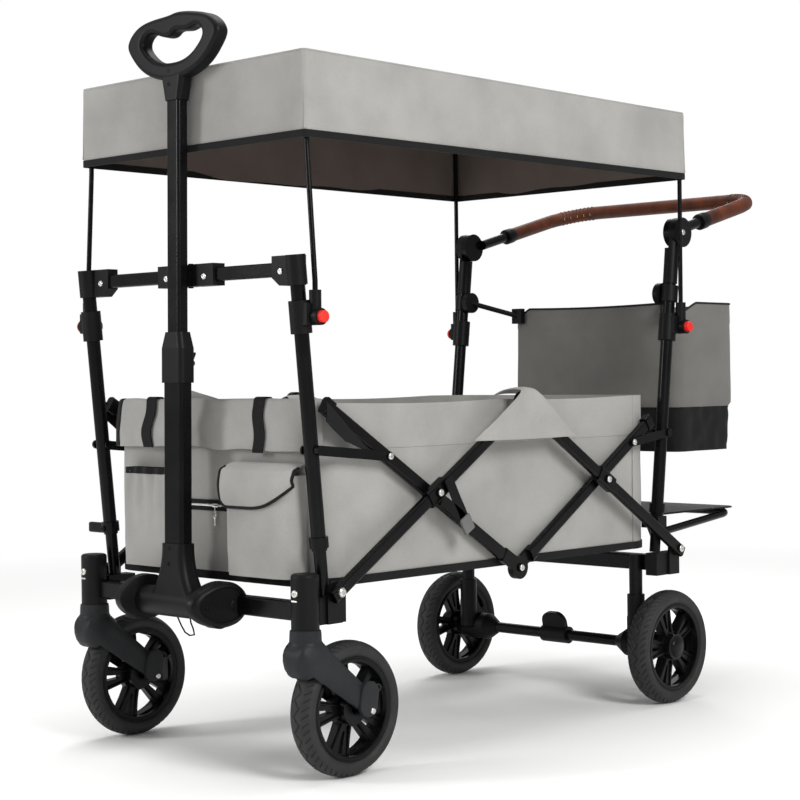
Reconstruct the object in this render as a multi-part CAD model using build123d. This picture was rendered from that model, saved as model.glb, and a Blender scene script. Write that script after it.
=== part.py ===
from build123d import *
import os
from math import cos, radians, sin, tan

os.makedirs("parts", exist_ok=True)

# Driving dimensions in mm. X runs front (-) to rear (+), the left side is -Y, the ground is Z = 0.
mid_x = -126.0             # middle of the side scissors
wheel_radius = 101.5
tyre_width = 44.0
tyre_seat = 78.0           # radius where the tyre sits on its rim
front_wheel_x = mid_x - 396.0
rear_wheel_x = mid_x + 418.0
kingpin_x = mid_x - 476.0
caster_y = 252.0
rear_wheel_y = 256.0
fit_gap = 0.08             # radial running clearance

# Side scissors
bar_reach = 214.0          # half the length of one bay
bar_rise = 135.0           # half the height of one bay
foot_z = 279.0             # height of the lower pivots
bar_height = 20.0
bar_depth = 12.0
bar_wall = 1.5
outer_y = 273.0            # middle plane of the outer bars
inner_y = 257.0            # middle plane of the inner bars
pin_radius = 4.0
knuckle_radius = 19.0
knuckle_reach = 46.0       # pivot to the end of the tube
knuckle_clear = 35.0       # pivot to where the fitting is full depth
front_tip_reach = 210.0    # front falling bar beyond its crossing, along X
rear_tip_reach = 140.0     # rear rising bar beyond its crossing, along X

# Posts
post_radius = 11.0
post_wall = 1.3
front_post_y = 249.0
front_post_x = mid_x - 437.0
front_lean = tan(radians(5.5))
rear_post_y = 250.0
rear_post_x = mid_x + 391.0
rear_lean = tan(radians(6.5))
post_base_z = 283.0
front_post_top = 766.0
rear_post_top = 772.0
link_z = 488.0

# Canopy
pole_radius = 4.0
pole_y = 271.0
pole_straight = 735.0      # the front poles lean inward above this height
pole_lean_top = 934.0      # and are upright again above this one
front_bow_half = 257.0     # half the width of the front bow inside the cover
front_pole_x = mid_x - 466.0
rear_pole_x = mid_x + 448.0
pole_bottom = 702.0
canopy_front = mid_x - 478.0
canopy_rear = mid_x + 458.0
canopy_front_half = 266.0  # half widths of the cover
canopy_rear_half = 278.0
canopy_hem = 945.0
canopy_top = 1066.0
cloth = 2.0
button_radius = 9.0
button_travel = 4.0
front_button_z = 683.0
rear_button_z = 678.0

# Lower rails and feet
rail_z = 252.0
rail_height = 28.0
rail_depth = 24.0
front_rail_x = mid_x - 468.0
rear_rail_x = mid_x + 412.0
foot_low = 232.0
foot_top = 272.0

# Pull handle
handle_x = mid_x - 506.0
handle_z = 251.0
handle_lean = 0.8          # degrees back from upright
barrel_radius = 23.0
barrel_half = 78.0
outer_tube = (24.0, 44.0)  # X by Y
inner_tube = (20.0, 30.0)
tube_wall = 1.5
tube_foot = 300.0
yoke_top = 342.0
collar_foot = 589.0
collar_step = 642.0
collar_top = 667.0
inner_foot = 566.0
inner_top = 1044.0
grip_foot = 1023.0
grip_centre = 1110.0
grip_depth = 27.0

# Basket
basket_half_width = 244.0
basket_front = mid_x - 447.0
basket_rear = mid_x + 398.0
basket_corner = 60.0
basket_floor = 291.0
basket_rim = 556.0
panel = 4.0
board_thickness = 8.0
board_gap = 44.0
flap_half = 128.0
flap_low = 492.0
flap_top = 568.0

# Push handle
push_x = mid_x + 466.0
push_z = 850.0
push_rise = 15.0           # degrees above level
push_reach = 313.17
push_bend = 80.0
push_tube = 9.5
leather_radius = 13.5
leather_start = 112.0
disc_radius = 27.0

# Rear bag, tray, legs and axle
bag_front = mid_x + 538.0
bag_rear = mid_x + 728.0
bag_half_width = 200.0
bag_top = 727.0
bag_foot = 446.0
tray_z = 338.0
tray_hinge_x = mid_x + 424.0
tray_tip = mid_x + 694.0
tray_half_width = 226.0
leg_x = mid_x + 396.0
leg_y = 203.0
leg_radius = 12.0
leg_sleeve = 16.0
leg_step = 194.0           # top of the stout lower part of a leg
leg_foot = 104.0
boss_radius = 25.0
boss_outer = 222.0
cone_base = 169.0          # the boss narrows from here to the tip, along Y
cone_tip = 146.0
axle_radius = 10.0
stub_radius = 6.0


def front_x(z):
    return front_post_x - (z - post_base_z) * front_lean


def rear_x(z):
    return rear_post_x + (z - post_base_z) * rear_lean


def rod(start, end, radius):
    run = Vector(*end) - Vector(*start)
    return Solid.make_cylinder(radius, run.length, Plane(origin=start, z_dir=run))


def pipe(start, end, radius, bore):
    run = (Vector(*end) - Vector(*start)).normalized()
    core = rod(Vector(*start) - run, Vector(*end) + run, bore)
    return rod(start, end, radius) - core


def disc(x, z, y_from, y_to, radius):
    return rod((x, y_from, z), (x, y_to, z), radius)


def block(x, y, z):
    size = [abs(span[1] - span[0]) for span in (x, y, z)]
    middle = [(span[0] + span[1]) / 2 for span in (x, y, z)]
    return Pos(*middle) * Box(*size)


def rounded_bar(start, end, depth, height, corner, wall=None):
    run = Vector(*end) - Vector(*start)
    across = Vector(0, 1, 0) if abs(run.Y) < abs(run.length) / 2 else Vector(1, 0, 0)
    section = RectangleRounded(depth, height, corner)
    if wall:
        section -= RectangleRounded(depth - 2 * wall, height - 2 * wall, max(corner - wall, 0.5))
    return extrude(Plane(origin=start, x_dir=across, z_dir=run) * section, run.length)


def upright(x, y, z_from, z_to, size, corner):
    section = Plane.XY.offset(z_from) * Pos(x, y) * RectangleRounded(*size, corner)
    return extrude(section, z_to - z_from)


def outline(points, y_from, y_to):
    wire = Wire.make_polygon([(x, y_from, z) for x, z in points])
    return extrude(Face(wire), abs(y_to - y_from), (0, 1 if y_to > y_from else -1, 0))


def pair(shape):
    return [shape, mirror(shape, about=Plane.XZ)]


def save(name, *shapes):
    solids = []
    for shape in shapes:
        group = shape if isinstance(shape, (list, tuple)) else [shape]
        for item in group:
            solids.extend(item.solids())
    export_step(Compound(solids), f"parts/{name}.step")


# Wheels
def make_tyre():
    seat_half = tyre_width / 2 - 5.0
    bulge = (tyre_seat + 10.0, tyre_width / 2)
    shoulder = (wheel_radius - 7.0, tyre_width / 2 - 3.0)
    side = [(tyre_seat, seat_half), bulge, shoulder]
    other = [(radius, -half) for radius, half in reversed(side)]
    tread = ThreePointArc(shoulder, (wheel_radius, 0), other[0])
    seat = Line(other[-1], side[0])
    return revolve(make_face([Polyline(*side), tread, Polyline(*other), seat]), Axis.Y)


def make_rim():
    hub_radius = 23.0
    hub_width = tyre_width - 4.0
    rim_width = tyre_width - 10.0
    flange = 8.0
    web = 13.0
    spokes = 5
    inner, outer = hub_radius + 5.0, tyre_seat - 11.0
    rim = Cylinder(tyre_seat, rim_width) - Cylinder(tyre_seat - flange, tyre_width)
    rim += Cylinder(tyre_seat - flange + 1, web) + Cylinder(hub_radius, hub_width)
    openings = {
        "window": (0, inner, 6.0, 22.0),
        "groove": (180 / spokes, inner + 6.0, 2.0, 5.0),
    }
    for shift, start, narrow, wide in openings.values():
        shape = [(start, -narrow), (outer, -wide), (outer, wide), (start, narrow)]
        cutter = extrude(Face(Wire.make_polygon(shape)), tyre_width, both=True)
        for turn in range(spokes):
            rim -= Rot(0, 0, 360 / spokes * turn + shift) * cutter
    rim -= Cylinder(stub_radius + fit_gap, tyre_width * 2)
    return Rot(90, 0, 0) * rim


tyre = make_tyre()
rim = make_rim()
for end, x, y in (("front", front_wheel_x, caster_y), ("rear", rear_wheel_x, rear_wheel_y)):
    for side, sign in (("left", -1), ("right", 1)):
        place = Pos(x, sign * y, wheel_radius)
        save(f"{end}_tyre_{side}", place * tyre)
        save(f"{end}_rim_{side}", place * rim)

# Caster forks: two cheeks and a crown in one moulding, with the kingpin and the axle
fork_top = 227.0
fork_half = 33.0
cavity_half = 26.0
cavity_room = 7.0          # gap between tyre and fork
kingpin_radius = 9.0
crown_radius = 34.0
crown_z = fork_top - crown_radius
axle_boss = 27.0
cover_length = 20.0        # between the round ends of the axle cover
cover_width = 30.0
cover_turn = 60.0
cover_raise = 4.0
housing_radius = 21.0
housing_low = 228.0
housing_top = 309.0
housing_roof = 12.0
housing_round = 5.0


def make_fork():
    cheek_edges = [
        *(Pos(kingpin_x, crown_z) * Circle(crown_radius)).edges(),
        *(Pos(front_wheel_x, wheel_radius) * Circle(axle_boss)).edges(),
    ]
    fork = Rot(90, 0, 0) * extrude(make_hull(cheek_edges), fork_half, both=True)
    fork -= disc(front_wheel_x, wheel_radius, -cavity_half, cavity_half, wheel_radius + cavity_room)
    cover = SlotCenterToCenter(cover_length, cover_width)
    for sign in (-1, 1):
        face = (front_wheel_x, sign * fork_half, wheel_radius)
        flat = Plane(origin=face, x_dir=(1, 0, 0), z_dir=(0, sign, 0))
        fork += extrude(flat * Rot(0, 0, cover_turn * sign) * cover, cover_raise)
    fork += disc(front_wheel_x, wheel_radius, -fork_half, fork_half, stub_radius)
    kingpin_top = housing_top - housing_roof - 2
    fork += rod((kingpin_x, 0, crown_z), (kingpin_x, 0, kingpin_top), kingpin_radius)
    return fork


fork = make_fork()
for side, sign in (("left", -1), ("right", 1)):
    save(f"caster_fork_{side}", Pos(0, sign * caster_y, 0) * fork)

housing_foot = (kingpin_x, -caster_y, housing_low)
housing = rod(housing_foot, (kingpin_x, -caster_y, housing_top), housing_radius)
housing = fillet(housing.edges().group_by(Axis.Z)[-1], housing_round)
bore_top = (kingpin_x, -caster_y, housing_top - housing_roof)
housing -= rod(housing_foot, bore_top, kingpin_radius + fit_gap)
save("caster_housings", pair(housing))

# Lower rails and feet
foot_inner = 238.0
foot_outer = 262.0
ear = 4.0
ear_radius = 15.0
rail_corner = 3.0
rail_wall = 1.8
front_foot_x = (kingpin_x + 10.0, mid_x - 402.0)
rear_foot_x = (rear_post_x - 12.0, mid_x + 446.0)


def make_rail(x, half):
    start, end = (x, -half, rail_z), (x, half, rail_z)
    return rounded_bar(start, end, rail_depth, rail_height, rail_corner, rail_wall)


def make_foot(span, pivot_x):
    low = -foot_outer
    foot = block(span, (low, -foot_inner), (foot_low, foot_top))
    foot += block((pivot_x - ear_radius, pivot_x + ear_radius), (low - ear, low), (foot_low, foot_z))
    foot += disc(pivot_x, foot_z, low - ear, low, ear_radius)
    return foot - disc(pivot_x, foot_z, low - 2 * ear, -foot_inner + ear, pin_radius + fit_gap)


front_pivot_x = mid_x - 2 * bar_reach
rear_pivot_x = mid_x + 2 * bar_reach
housing_solid = rod((kingpin_x, -caster_y, 0), (kingpin_x, -caster_y, housing_top), housing_radius)
front_rail = make_rail(front_rail_x, caster_y)
for cutter in pair(housing_solid):
    front_rail -= cutter
save("front_lower_rail", front_rail)
front_foot = make_foot(front_foot_x, front_pivot_x) - housing_solid
rail_room = (front_rail_x - rail_depth, front_rail_x + rail_depth / 2)
front_foot -= block(rail_room, (-foot_outer, 0), (0, foot_top + 1))
save("front_feet", pair(front_foot))
save("rear_lower_rail", make_rail(rear_rail_x, foot_inner))
rear_foot = make_foot(rear_foot_x, rear_pivot_x)

# Posts: a stout upper tube over a thinner lower one, with a collar where they meet
inner_radius = post_radius - post_wall - 0.1
thin_wall = 1.5
sleeve_z = 344.0
sleeve_lap = 80.0
collar_grow = 3.5
collar_span = (sleeve_z - 4.0, sleeve_z + 16.0)
post_foot = foot_top + 1.5


def post_point(x_at, y, z):
    return (x_at(z), -y, z)


def post_pipe(x_at, y, span, radius, bore):
    return pipe(post_point(x_at, y, span[0]), post_point(x_at, y, span[1]), radius, bore)


def make_post(x_at, y, top):
    upper = post_pipe(x_at, y, (sleeve_z, top), post_radius, post_radius - post_wall)
    lower = post_pipe(x_at, y, (post_foot, sleeve_z + sleeve_lap), inner_radius, inner_radius - thin_wall)
    collar = post_pipe(x_at, y, collar_span, post_radius + collar_grow, post_radius)
    mouth_span = (collar_span[0] - 1, sleeve_z)
    mouth = post_pipe(x_at, y, mouth_span, post_radius + 2 * collar_grow, inner_radius + 2)
    hole_y = (-y - 2 * post_radius, -y + 2 * post_radius)
    link_hole = disc(x_at(link_z), link_z, *hole_y, pin_radius + fit_gap)
    return [upper - link_hole, lower - link_hole, collar - mouth]


for end, x_at, y, top in (
    ("front", front_x, front_post_y, front_post_top),
    ("rear", rear_x, rear_post_y, rear_post_top),
):
    save(f"{end}_posts", *[pair(tube) for tube in make_post(x_at, y, top)])

# Side scissors. A bar is a tube with a moulded fitting at each jointed end.
half_depth = bar_depth / 2
bar_length = (bar_reach**2 + bar_rise**2) ** 0.5
unit_x = bar_reach / bar_length
unit_z = bar_rise / bar_length
hub = (mid_x, foot_z)
apex = (mid_x, foot_z + 2 * bar_rise)
front_cross = (mid_x - bar_reach, foot_z + bar_rise)
rear_cross = (mid_x + bar_reach, foot_z + bar_rise)
slope = bar_rise / bar_reach
bar_corner = 4.0
fitting_wall = 2.0
lug_corner = 2.0
rivet_head = 3.0
rivet_radius = 7.0
sleeve_reach = 22.0
tip_cap = 16.0
lap = 0.2                  # gap between parts that turn face to face
end_lap = 14.0             # outer bar beyond its foot pivot
up, down = (unit_x, unit_z), (unit_x, -unit_z)
up_left, down_left = (-unit_x, unit_z), (-unit_x, -unit_z)
front_pivot = (front_pivot_x, foot_z)
rear_pivot = (rear_pivot_x, foot_z)
front_tip = (front_cross[0] - front_tip_reach, front_cross[1] + front_tip_reach * slope)
rear_tip = (rear_cross[0] + rear_tip_reach, rear_cross[1] + rear_tip_reach * slope)
outer_low, outer_high = -outer_y - half_depth, -outer_y + half_depth
inner_low, inner_high = -inner_y - half_depth, -inner_y + half_depth
sleeve_face = outer_low - fitting_wall


def ahead(point, along, reach):
    return (point[0] + along[0] * reach, point[1] + along[1] * reach)


def place_at(point, y):
    return (point[0], y, point[1])


def bore(point, y):
    return disc(point[0], point[1], -y - bar_depth, -y + bar_depth, pin_radius + fit_gap)


def make_bar(start, end, y, holes):
    bar = rounded_bar(place_at(start, -y), place_at(end, -y), bar_depth, bar_height, bar_corner, bar_wall)
    for hole in holes:
        bar -= bore(hole, y)
    return bar


def make_knuckle(pivot, toward, y_from, y_to, y):
    joint = disc(pivot[0], pivot[1], y_from, y_to, knuckle_radius)
    tail = ahead(pivot, toward, knuckle_reach)
    height = bar_height + 2 * fitting_wall
    depth = bar_depth + fitting_wall
    neck = rounded_bar(place_at(pivot, -y), place_at(tail, -y), depth, height, bar_corner)
    relief = disc(pivot[0], pivot[1], -y - bar_depth, -y + bar_depth, knuckle_clear)
    lug_y = (y_from + y_to) / 2
    lug = rounded_bar(place_at(pivot, lug_y), place_at(tail, lug_y), abs(y_to - y_from), height, lug_corner)
    return joint + (neck - relief) + lug - bore(pivot, y)


def rivet(point, y_from, y_to):
    shaft = disc(point[0], point[1], y_from, y_to, pin_radius)
    near_cap = disc(point[0], point[1], y_from - rivet_head, y_from, rivet_radius)
    return shaft + near_cap + disc(point[0], point[1], y_to, y_to + rivet_head, rivet_radius)


def make_sleeve(point, along):
    start = place_at(ahead(point, along, -sleeve_reach), -outer_y)
    end = place_at(ahead(point, along, sleeve_reach), -outer_y)
    depth = bar_depth + 2 * fitting_wall
    height = bar_height + 4 * fitting_wall
    sleeve = rounded_bar(start, end, depth, height, bar_corner + 1)
    inside = rounded_bar(start, end, bar_depth, bar_height, bar_corner)
    return sleeve - inside - bore(point, outer_y)


def make_tip(point, along):
    end = ahead(point, along, tip_cap)
    depth = bar_depth + 2 * fitting_wall
    height = bar_height + 3 * fitting_wall
    return rounded_bar(place_at(point, -inner_y), place_at(end, -inner_y), depth, height, bar_corner + 1)


front_foot_end = ahead(front_pivot, down_left, end_lap)
front_top = ahead(apex, down_left, knuckle_reach)
save(
    "front_rising_bars",
    pair(make_bar(front_foot_end, front_top, outer_y, [front_pivot, front_cross])),
    pair(make_knuckle(apex, down_left, outer_low, -outer_y - lap, outer_y)),
    pair(make_sleeve(front_cross, up)),
    pair(rivet(front_cross, sleeve_face, inner_high)),
    pair(rivet(apex, outer_low, outer_high)),
)
save(
    "front_falling_bars",
    pair(make_bar(front_tip, ahead(hub, up_left, knuckle_reach), inner_y, [front_cross])),
    pair(make_knuckle(hub, up_left, inner_low, -inner_y - lap, inner_y)),
    pair(make_tip(front_tip, up_left)),
    pair(rivet(hub, inner_low, inner_high)),
)
save(
    "rear_rising_bars",
    pair(make_bar(ahead(hub, up, knuckle_reach), rear_tip, inner_y, [rear_cross])),
    pair(make_knuckle(hub, up, -inner_y + lap, inner_high, inner_y)),
    pair(make_tip(rear_tip, up)),
)
rear_foot_end = ahead(rear_pivot, down, end_lap)
rear_top = ahead(apex, down, knuckle_reach)
save(
    "rear_falling_bars",
    pair(make_bar(rear_top, rear_foot_end, outer_y, [rear_pivot, rear_cross])),
    pair(make_knuckle(apex, down, -outer_y + lap, outer_high, outer_y)),
    pair(make_sleeve(rear_cross, down)),
    pair(rivet(rear_cross, sleeve_face, inner_high)),
)

# Corner links from the posts to the inner bars
link_thickness = 2.6
link_width = 15.0
link_face = -inner_y - half_depth - 0.5
link_along = 112.0         # crossing to the link's end along the inner bar
link_head = 2.0


def make_link(x_at, y, cross, along):
    start = (x_at(link_z), link_z)
    end = ahead(cross, along, link_along)
    run = Vector(end[0] - start[0], 0, end[1] - start[1])
    plane = Plane(origin=place_at(start, link_face), x_dir=run, z_dir=(0, -1, 0))
    shape = plane * Pos(run.length / 2, 0) * SlotCenterToCenter(run.length, link_width)
    strip = extrude(shape, link_thickness)
    front_face = link_face - link_thickness
    strip -= disc(start[0], start[1], front_face - 1, link_face + 1, pin_radius)
    head = disc(end[0], end[1], front_face - link_head, front_face, rivet_radius - 1)
    return strip + head + rivet(start, front_face, -y + post_radius + rivet_head)


for end, x_at, y, cross, along in (
    ("front", front_x, front_post_y, front_cross, up_left),
    ("rear", rear_x, rear_post_y, rear_cross, up),
):
    save(f"{end}_links", pair(make_link(x_at, y, cross, along)))

# Front crossbar with its corner brackets and centre hinge
crossbar_z = 754.0
crossbar = (14.0, 21.0)
crossbar_corner = 3.0
crossbar_wall = 1.5
crossbar_set = 10.0        # crossbar behind the posts' axis
crossbar_x = front_x(crossbar_z) + crossbar_set
crossbar_seat = 30.0       # tube inside a corner bracket
bracket_low = 730.0
bracket_high = 774.0
bracket_inner = 196.0
bracket_half = 10.0
bracket_wall = 4.0
bracket_cut = (16.0, 12.0)
hinge_half = 66.0
hinge_seat = 20.0
hinge_depth = 24.0
hinge_barrel = 13.0
hinge_low = crossbar_z - 17.0
hinge_high = crossbar_z + 17.0


def crossbar_run(y_from, y_to, wall=None):
    start, end = (crossbar_x, y_from, crossbar_z), (crossbar_x, y_to, crossbar_z)
    return rounded_bar(start, end, *crossbar, crossbar_corner, wall)


def front_post_rod(z_from, z_to, radius):
    return rod(post_point(front_x, front_post_y, z_from), post_point(front_x, front_post_y, z_to), radius)


def make_corner():
    flag = [
        (-front_post_y, bracket_low),
        (-bracket_inner - bracket_cut[0], bracket_low),
        (-bracket_inner, bracket_low + bracket_cut[1]),
        (-bracket_inner, bracket_high),
        (-front_post_y, bracket_high),
    ]
    wire = Wire.make_polygon([(crossbar_x - bracket_half, y, z) for y, z in flag])
    corner = front_post_rod(bracket_low, bracket_high, post_radius + bracket_wall)
    corner += extrude(Face(wire), 2 * bracket_half, (1, 0, 0))
    corner -= front_post_rod(bracket_low - 2, front_post_top, post_radius)
    return corner - crossbar_run(-bracket_inner - crossbar_seat, 0)


def make_hinge():
    third = (hinge_high - hinge_low) / 3
    leaf_x = (crossbar_x - hinge_depth / 2, crossbar_x + hinge_depth / 2)
    arm_x = (crossbar_x - hinge_barrel + bracket_wall, crossbar_x + hinge_barrel - bracket_wall)
    leaf = block(leaf_x, (-hinge_half, -hinge_barrel - 1), (hinge_low, hinge_high))
    leaf -= crossbar_run(-hinge_half, -hinge_half + hinge_seat)
    halves = []
    for sign, spans in ((1, ((0, 1), (2, 3))), (-1, ((1, 2),))):
        half = leaf if sign == 1 else mirror(leaf, about=Plane.XZ)
        for low, high in spans:
            z_from, z_to = hinge_low + low * third + lap, hinge_low + high * third - lap
            half += rod((crossbar_x, 0, z_from), (crossbar_x, 0, z_to), hinge_barrel)
            half += block(arm_x, (-sign * (hinge_barrel + 2), 0), (z_from, z_to))
        halves.append(half - rod((crossbar_x, 0, 0), (crossbar_x, 0, canopy_top), pin_radius + fit_gap))
    pin = rod((crossbar_x, 0, hinge_low - 2), (crossbar_x, 0, hinge_high + 2), pin_radius)
    return [*halves, pin]


save(
    "front_crossbar_tubes",
    pair(crossbar_run(-bracket_inner - crossbar_seat, -hinge_half + hinge_seat, crossbar_wall)),
)
save("front_corner_brackets", pair(make_corner()))
save("front_crossbar_hinge", make_hinge())

# Canopy sockets clamp round the posts and hold the poles and the release buttons
socket_half = 24.0
socket_radius = 16.0
socket_wall = 5.0
bridge_half = 8.0
bridge_low = 12.0          # bridge below and above the button's middle
bridge_high = 20.0
cup_radius = 12.5
cup_mouth = 284.0
cup_floor = 268.0
cup_gap = 0.3
button_proud = 8.0
button_round = 2.0
pole_seat = 20.0


def make_socket(x_at, post_y, pole_x, button_z):
    low, high = button_z - socket_half, button_z + socket_half
    pole_top = pole_bottom + pole_seat
    bridge_x = sorted((x_at(button_z), pole_x))
    bridge_x = (bridge_x[0] - bridge_half, bridge_x[1] + bridge_half)
    socket = rod(post_point(x_at, post_y, low), post_point(x_at, post_y, high), socket_radius)
    socket += rod((pole_x, -pole_y, button_z), (pole_x, -pole_y, pole_top), pole_radius + socket_wall)
    socket += block(bridge_x, (-pole_y, -post_y), (button_z - bridge_low, button_z + bridge_high))
    socket += disc(pole_x, button_z, -cup_mouth, -post_y, cup_radius)
    socket -= disc(pole_x, button_z, -cup_mouth - 1, -cup_floor, button_radius + cup_gap)
    socket -= rod((pole_x, -pole_y, pole_bottom - 1), (pole_x, -pole_y, pole_top + 1), pole_radius + fit_gap)
    post_low = post_point(x_at, post_y, low - socket_half)
    return socket - rod(post_low, post_point(x_at, post_y, high + socket_half), post_radius)


def make_button(pole_x, button_z):
    back = -cup_floor - button_travel - cup_gap
    cap = disc(pole_x, button_z, -cup_mouth - button_proud, back, button_radius)
    return fillet(cap.edges().group_by(Axis.Y)[0], button_round)


for end, x_at, y, pole_x, button_z in (
    ("front", front_x, front_post_y, front_pole_x, front_button_z),
    ("rear", rear_x, rear_post_y, rear_pole_x, rear_button_z),
):
    save(f"{end}_canopy_sockets", pair(make_socket(x_at, y, pole_x, button_z)))
    button = make_button(pole_x, button_z)
    save(f"canopy_button_{end}_left", button)
    save(f"canopy_button_{end}_right", mirror(button, about=Plane.XZ))

# Canopy: two bent rods carry a shallow fabric box, open below
bow_bend = 20.0
bow_top = canopy_top - cloth - pole_radius - 1.0
canopy_corner = 6.0


def make_bow(x, half):
    near = [(-pole_y, pole_bottom)]
    if half < pole_y:
        near += [(-pole_y, pole_straight), (-half, pole_lean_top)]
    near += [(-half, bow_top)]
    far = [(-y, z) for y, z in reversed(near)]
    line = FilletPolyline(*[(x, y, z) for y, z in near + far], radius=bow_bend)
    section = Plane(origin=(x, -pole_y, pole_bottom), z_dir=(0, 0, 1)) * Circle(pole_radius)
    return sweep(section, path=line)


def canopy_block(inset, low, high):
    front = (canopy_front + inset, canopy_front_half - inset)
    rear = (canopy_rear - inset, canopy_rear_half - inset)
    plan = [(front[0], -front[1]), (rear[0], -rear[1]), rear, front]
    return extrude(Face(Wire.make_polygon([(x, y, low) for x, y in plan])), high - low, (0, 0, 1))


def make_canopy():
    cover = canopy_block(0, canopy_hem, canopy_top)
    cover = fillet(cover.edges().filter_by(Axis.Z), canopy_corner)
    return cover - canopy_block(cloth, canopy_hem - 1, canopy_top - cloth)


save("canopy_front_bow", make_bow(front_pole_x, front_bow_half))
save("canopy_rear_bow", make_bow(rear_pole_x, pole_y))
save("canopy_cover", make_canopy())

# Pull handle: bracket on the front rail, yoke, two tubes, collar, latch and D grip
bracket_y = barrel_half + 1.0
lobe = 20.0
lobe_radius = barrel_radius + 1.0
lobe_rise = 9.0
lobe_floor = 4.0
lobe_half = 22.0
handle_pin = pin_radius + 1.0
yoke_foot = (40.0, 116.0)  # sections across the yoke, X by Y
yoke_waist = (36.0, 66.0)
yoke_waist_z = handle_z + 42.0
yoke_round = 12.0
sleeve_size = (31.0, 51.0)
sleeve_round = 9.0
neck_size = (26.0, 38.0)
neck_round = 8.0
outer_round = 6.0
inner_round = 5.0
tube_head = collar_step - 4.0
latch_half = 9.0
latch_gap = 0.4
latch_back = handle_x + sleeve_size[0] / 2
latch_pivot = (latch_back + 4.0, 619.0)
latch_low = 602.0
latch_high = 636.0
latch_thumb = 12.7
latch_waist = 7.6
latch_relief = 5.0         # room behind the thumb for the press
latch_pin = 1.6
latch_lug = 3.0
latch_lug_radius = 4.6
grip_round = 8.0
grip_neck_foot = (25.0, 35.0)
grip_neck_head = (26.0, 54.0)
neck_drop = 46.0           # top of the neck below the middle of the loop

# Right halves of the grip's outline and hole, top to bottom, from the middle of the loop
grip_outline = [(0, 46), (60, 41), (98, 25), (108, 8), (98, -12), (72, -36), (40, -50), (0, -56)]
grip_hole = [(0, 15), (36, 17), (60, 20), (71, 8), (62, -7), (42, -21), (18, -28), (0, -29)]


def leaned(shape):
    turn = Pos(handle_x, 0, handle_z) * Rot(0, handle_lean, 0) * Pos(-handle_x, 0, -handle_z)
    return turn * shape


def handle_section(z, size, corner):
    return Plane.XY.offset(z) * Pos(handle_x, 0) * RectangleRounded(*size, corner)


def make_handle_bracket():
    y_from, y_to = -bracket_y - lobe, -bracket_y
    rail_face = front_rail_x - rail_depth / 2
    plate = block((handle_x, rail_face), (y_from, y_to), (handle_z - lobe_half, handle_z + lobe_half))
    low, high = handle_z - lobe_rise, handle_z + lobe_rise
    plate += block((handle_x - lobe_radius, rail_face), (y_from, y_to), (low, high))
    for z in (low, high):
        plate += disc(handle_x, z, y_from, y_to, lobe_radius)
    return plate - disc(handle_x, handle_z, y_from + lobe_floor, y_to + 1, handle_pin)


def make_yoke():
    yoke = disc(handle_x, handle_z, -barrel_half, barrel_half, barrel_radius)
    foot = handle_section(handle_z, yoke_foot, yoke_round)
    waist = handle_section(yoke_waist_z, yoke_waist, yoke_round)
    yoke += loft([foot, waist, handle_section(yoke_top, sleeve_size, sleeve_round)])
    yoke -= upright(handle_x, 0, tube_foot, yoke_top + 1, outer_tube, outer_round)
    return yoke - disc(handle_x, handle_z, -barrel_half - 1, barrel_half + 1, handle_pin + fit_gap)


def make_collar():
    collar = upright(handle_x, 0, collar_foot, collar_step, sleeve_size, sleeve_round)
    shoulder = handle_section(collar_step, sleeve_size, sleeve_round)
    collar += loft([shoulder, handle_section(collar_top, neck_size, neck_round)])
    inside, face = latch_half + latch_gap, latch_half + latch_gap + latch_lug
    for sign in (-1, 1):
        collar += disc(*latch_pivot, sign * inside, sign * face, latch_lug_radius)
    collar += disc(*latch_pivot, -face, face, latch_pin)
    collar -= upright(handle_x, 0, collar_foot - 1, tube_head, outer_tube, outer_round)
    running = (inner_tube[0] + 2 * fit_gap, inner_tube[1] + 2 * fit_gap)
    return collar - upright(handle_x, 0, collar_foot, collar_top + 1, running, inner_round)


def make_latch():
    back = latch_back + latch_gap
    profile = [
        (back, latch_low),
        (back + latch_waist, latch_low + latch_lug),
        (back + latch_waist, latch_pivot[1] + latch_lug),
        (back + latch_thumb, latch_high - latch_lug),
        (back + latch_thumb, latch_high),
        (back + latch_relief, latch_high),
        (back, latch_pivot[1]),
    ]
    lever = outline(profile, -latch_half, latch_half)
    return lever - disc(*latch_pivot, -latch_half - 1, latch_half + 1, latch_pin + fit_gap)


def make_tube(size, z_from, z_to, corner):
    inside = (size[0] - 2 * tube_wall, size[1] - 2 * tube_wall)
    tube = upright(handle_x, 0, z_from, z_to, size, corner)
    return tube - upright(handle_x, 0, z_from - 1, z_to + 1, inside, corner - tube_wall)


def closed_loop(right_half):
    left_half = [(-y, z) for y, z in reversed(right_half[1:-1])]
    return make_face(Spline(*right_half, *left_half, periodic=True))


def make_grip():
    back = (handle_x - grip_depth / 2, 0, grip_centre)
    face_plane = Plane(origin=back, x_dir=(0, 1, 0), z_dir=(1, 0, 0))
    ring = closed_loop(grip_outline) - closed_loop(grip_hole)
    grip = fillet(extrude(face_plane * ring, grip_depth).edges(), grip_round)
    low = handle_section(grip_foot, grip_neck_foot, neck_round - 1)
    neck = loft([low, handle_section(grip_centre - neck_drop, grip_neck_head, sleeve_round)])
    return grip + neck - upright(handle_x, 0, grip_foot - 1, inner_top, inner_tube, inner_round)


save("handle_bracket", pair(make_handle_bracket()))
save("handle_yoke", leaned(make_yoke()))
save("handle_outer_tube", leaned(make_tube(outer_tube, tube_foot, tube_head, outer_round)))
save("handle_collar", leaned(make_collar()))
save("handle_latch", leaned(make_latch()))
save("handle_inner_tube", leaned(make_tube(inner_tube, inner_foot, inner_top, inner_round)))
save("handle_grip", leaned(make_grip()))


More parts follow.
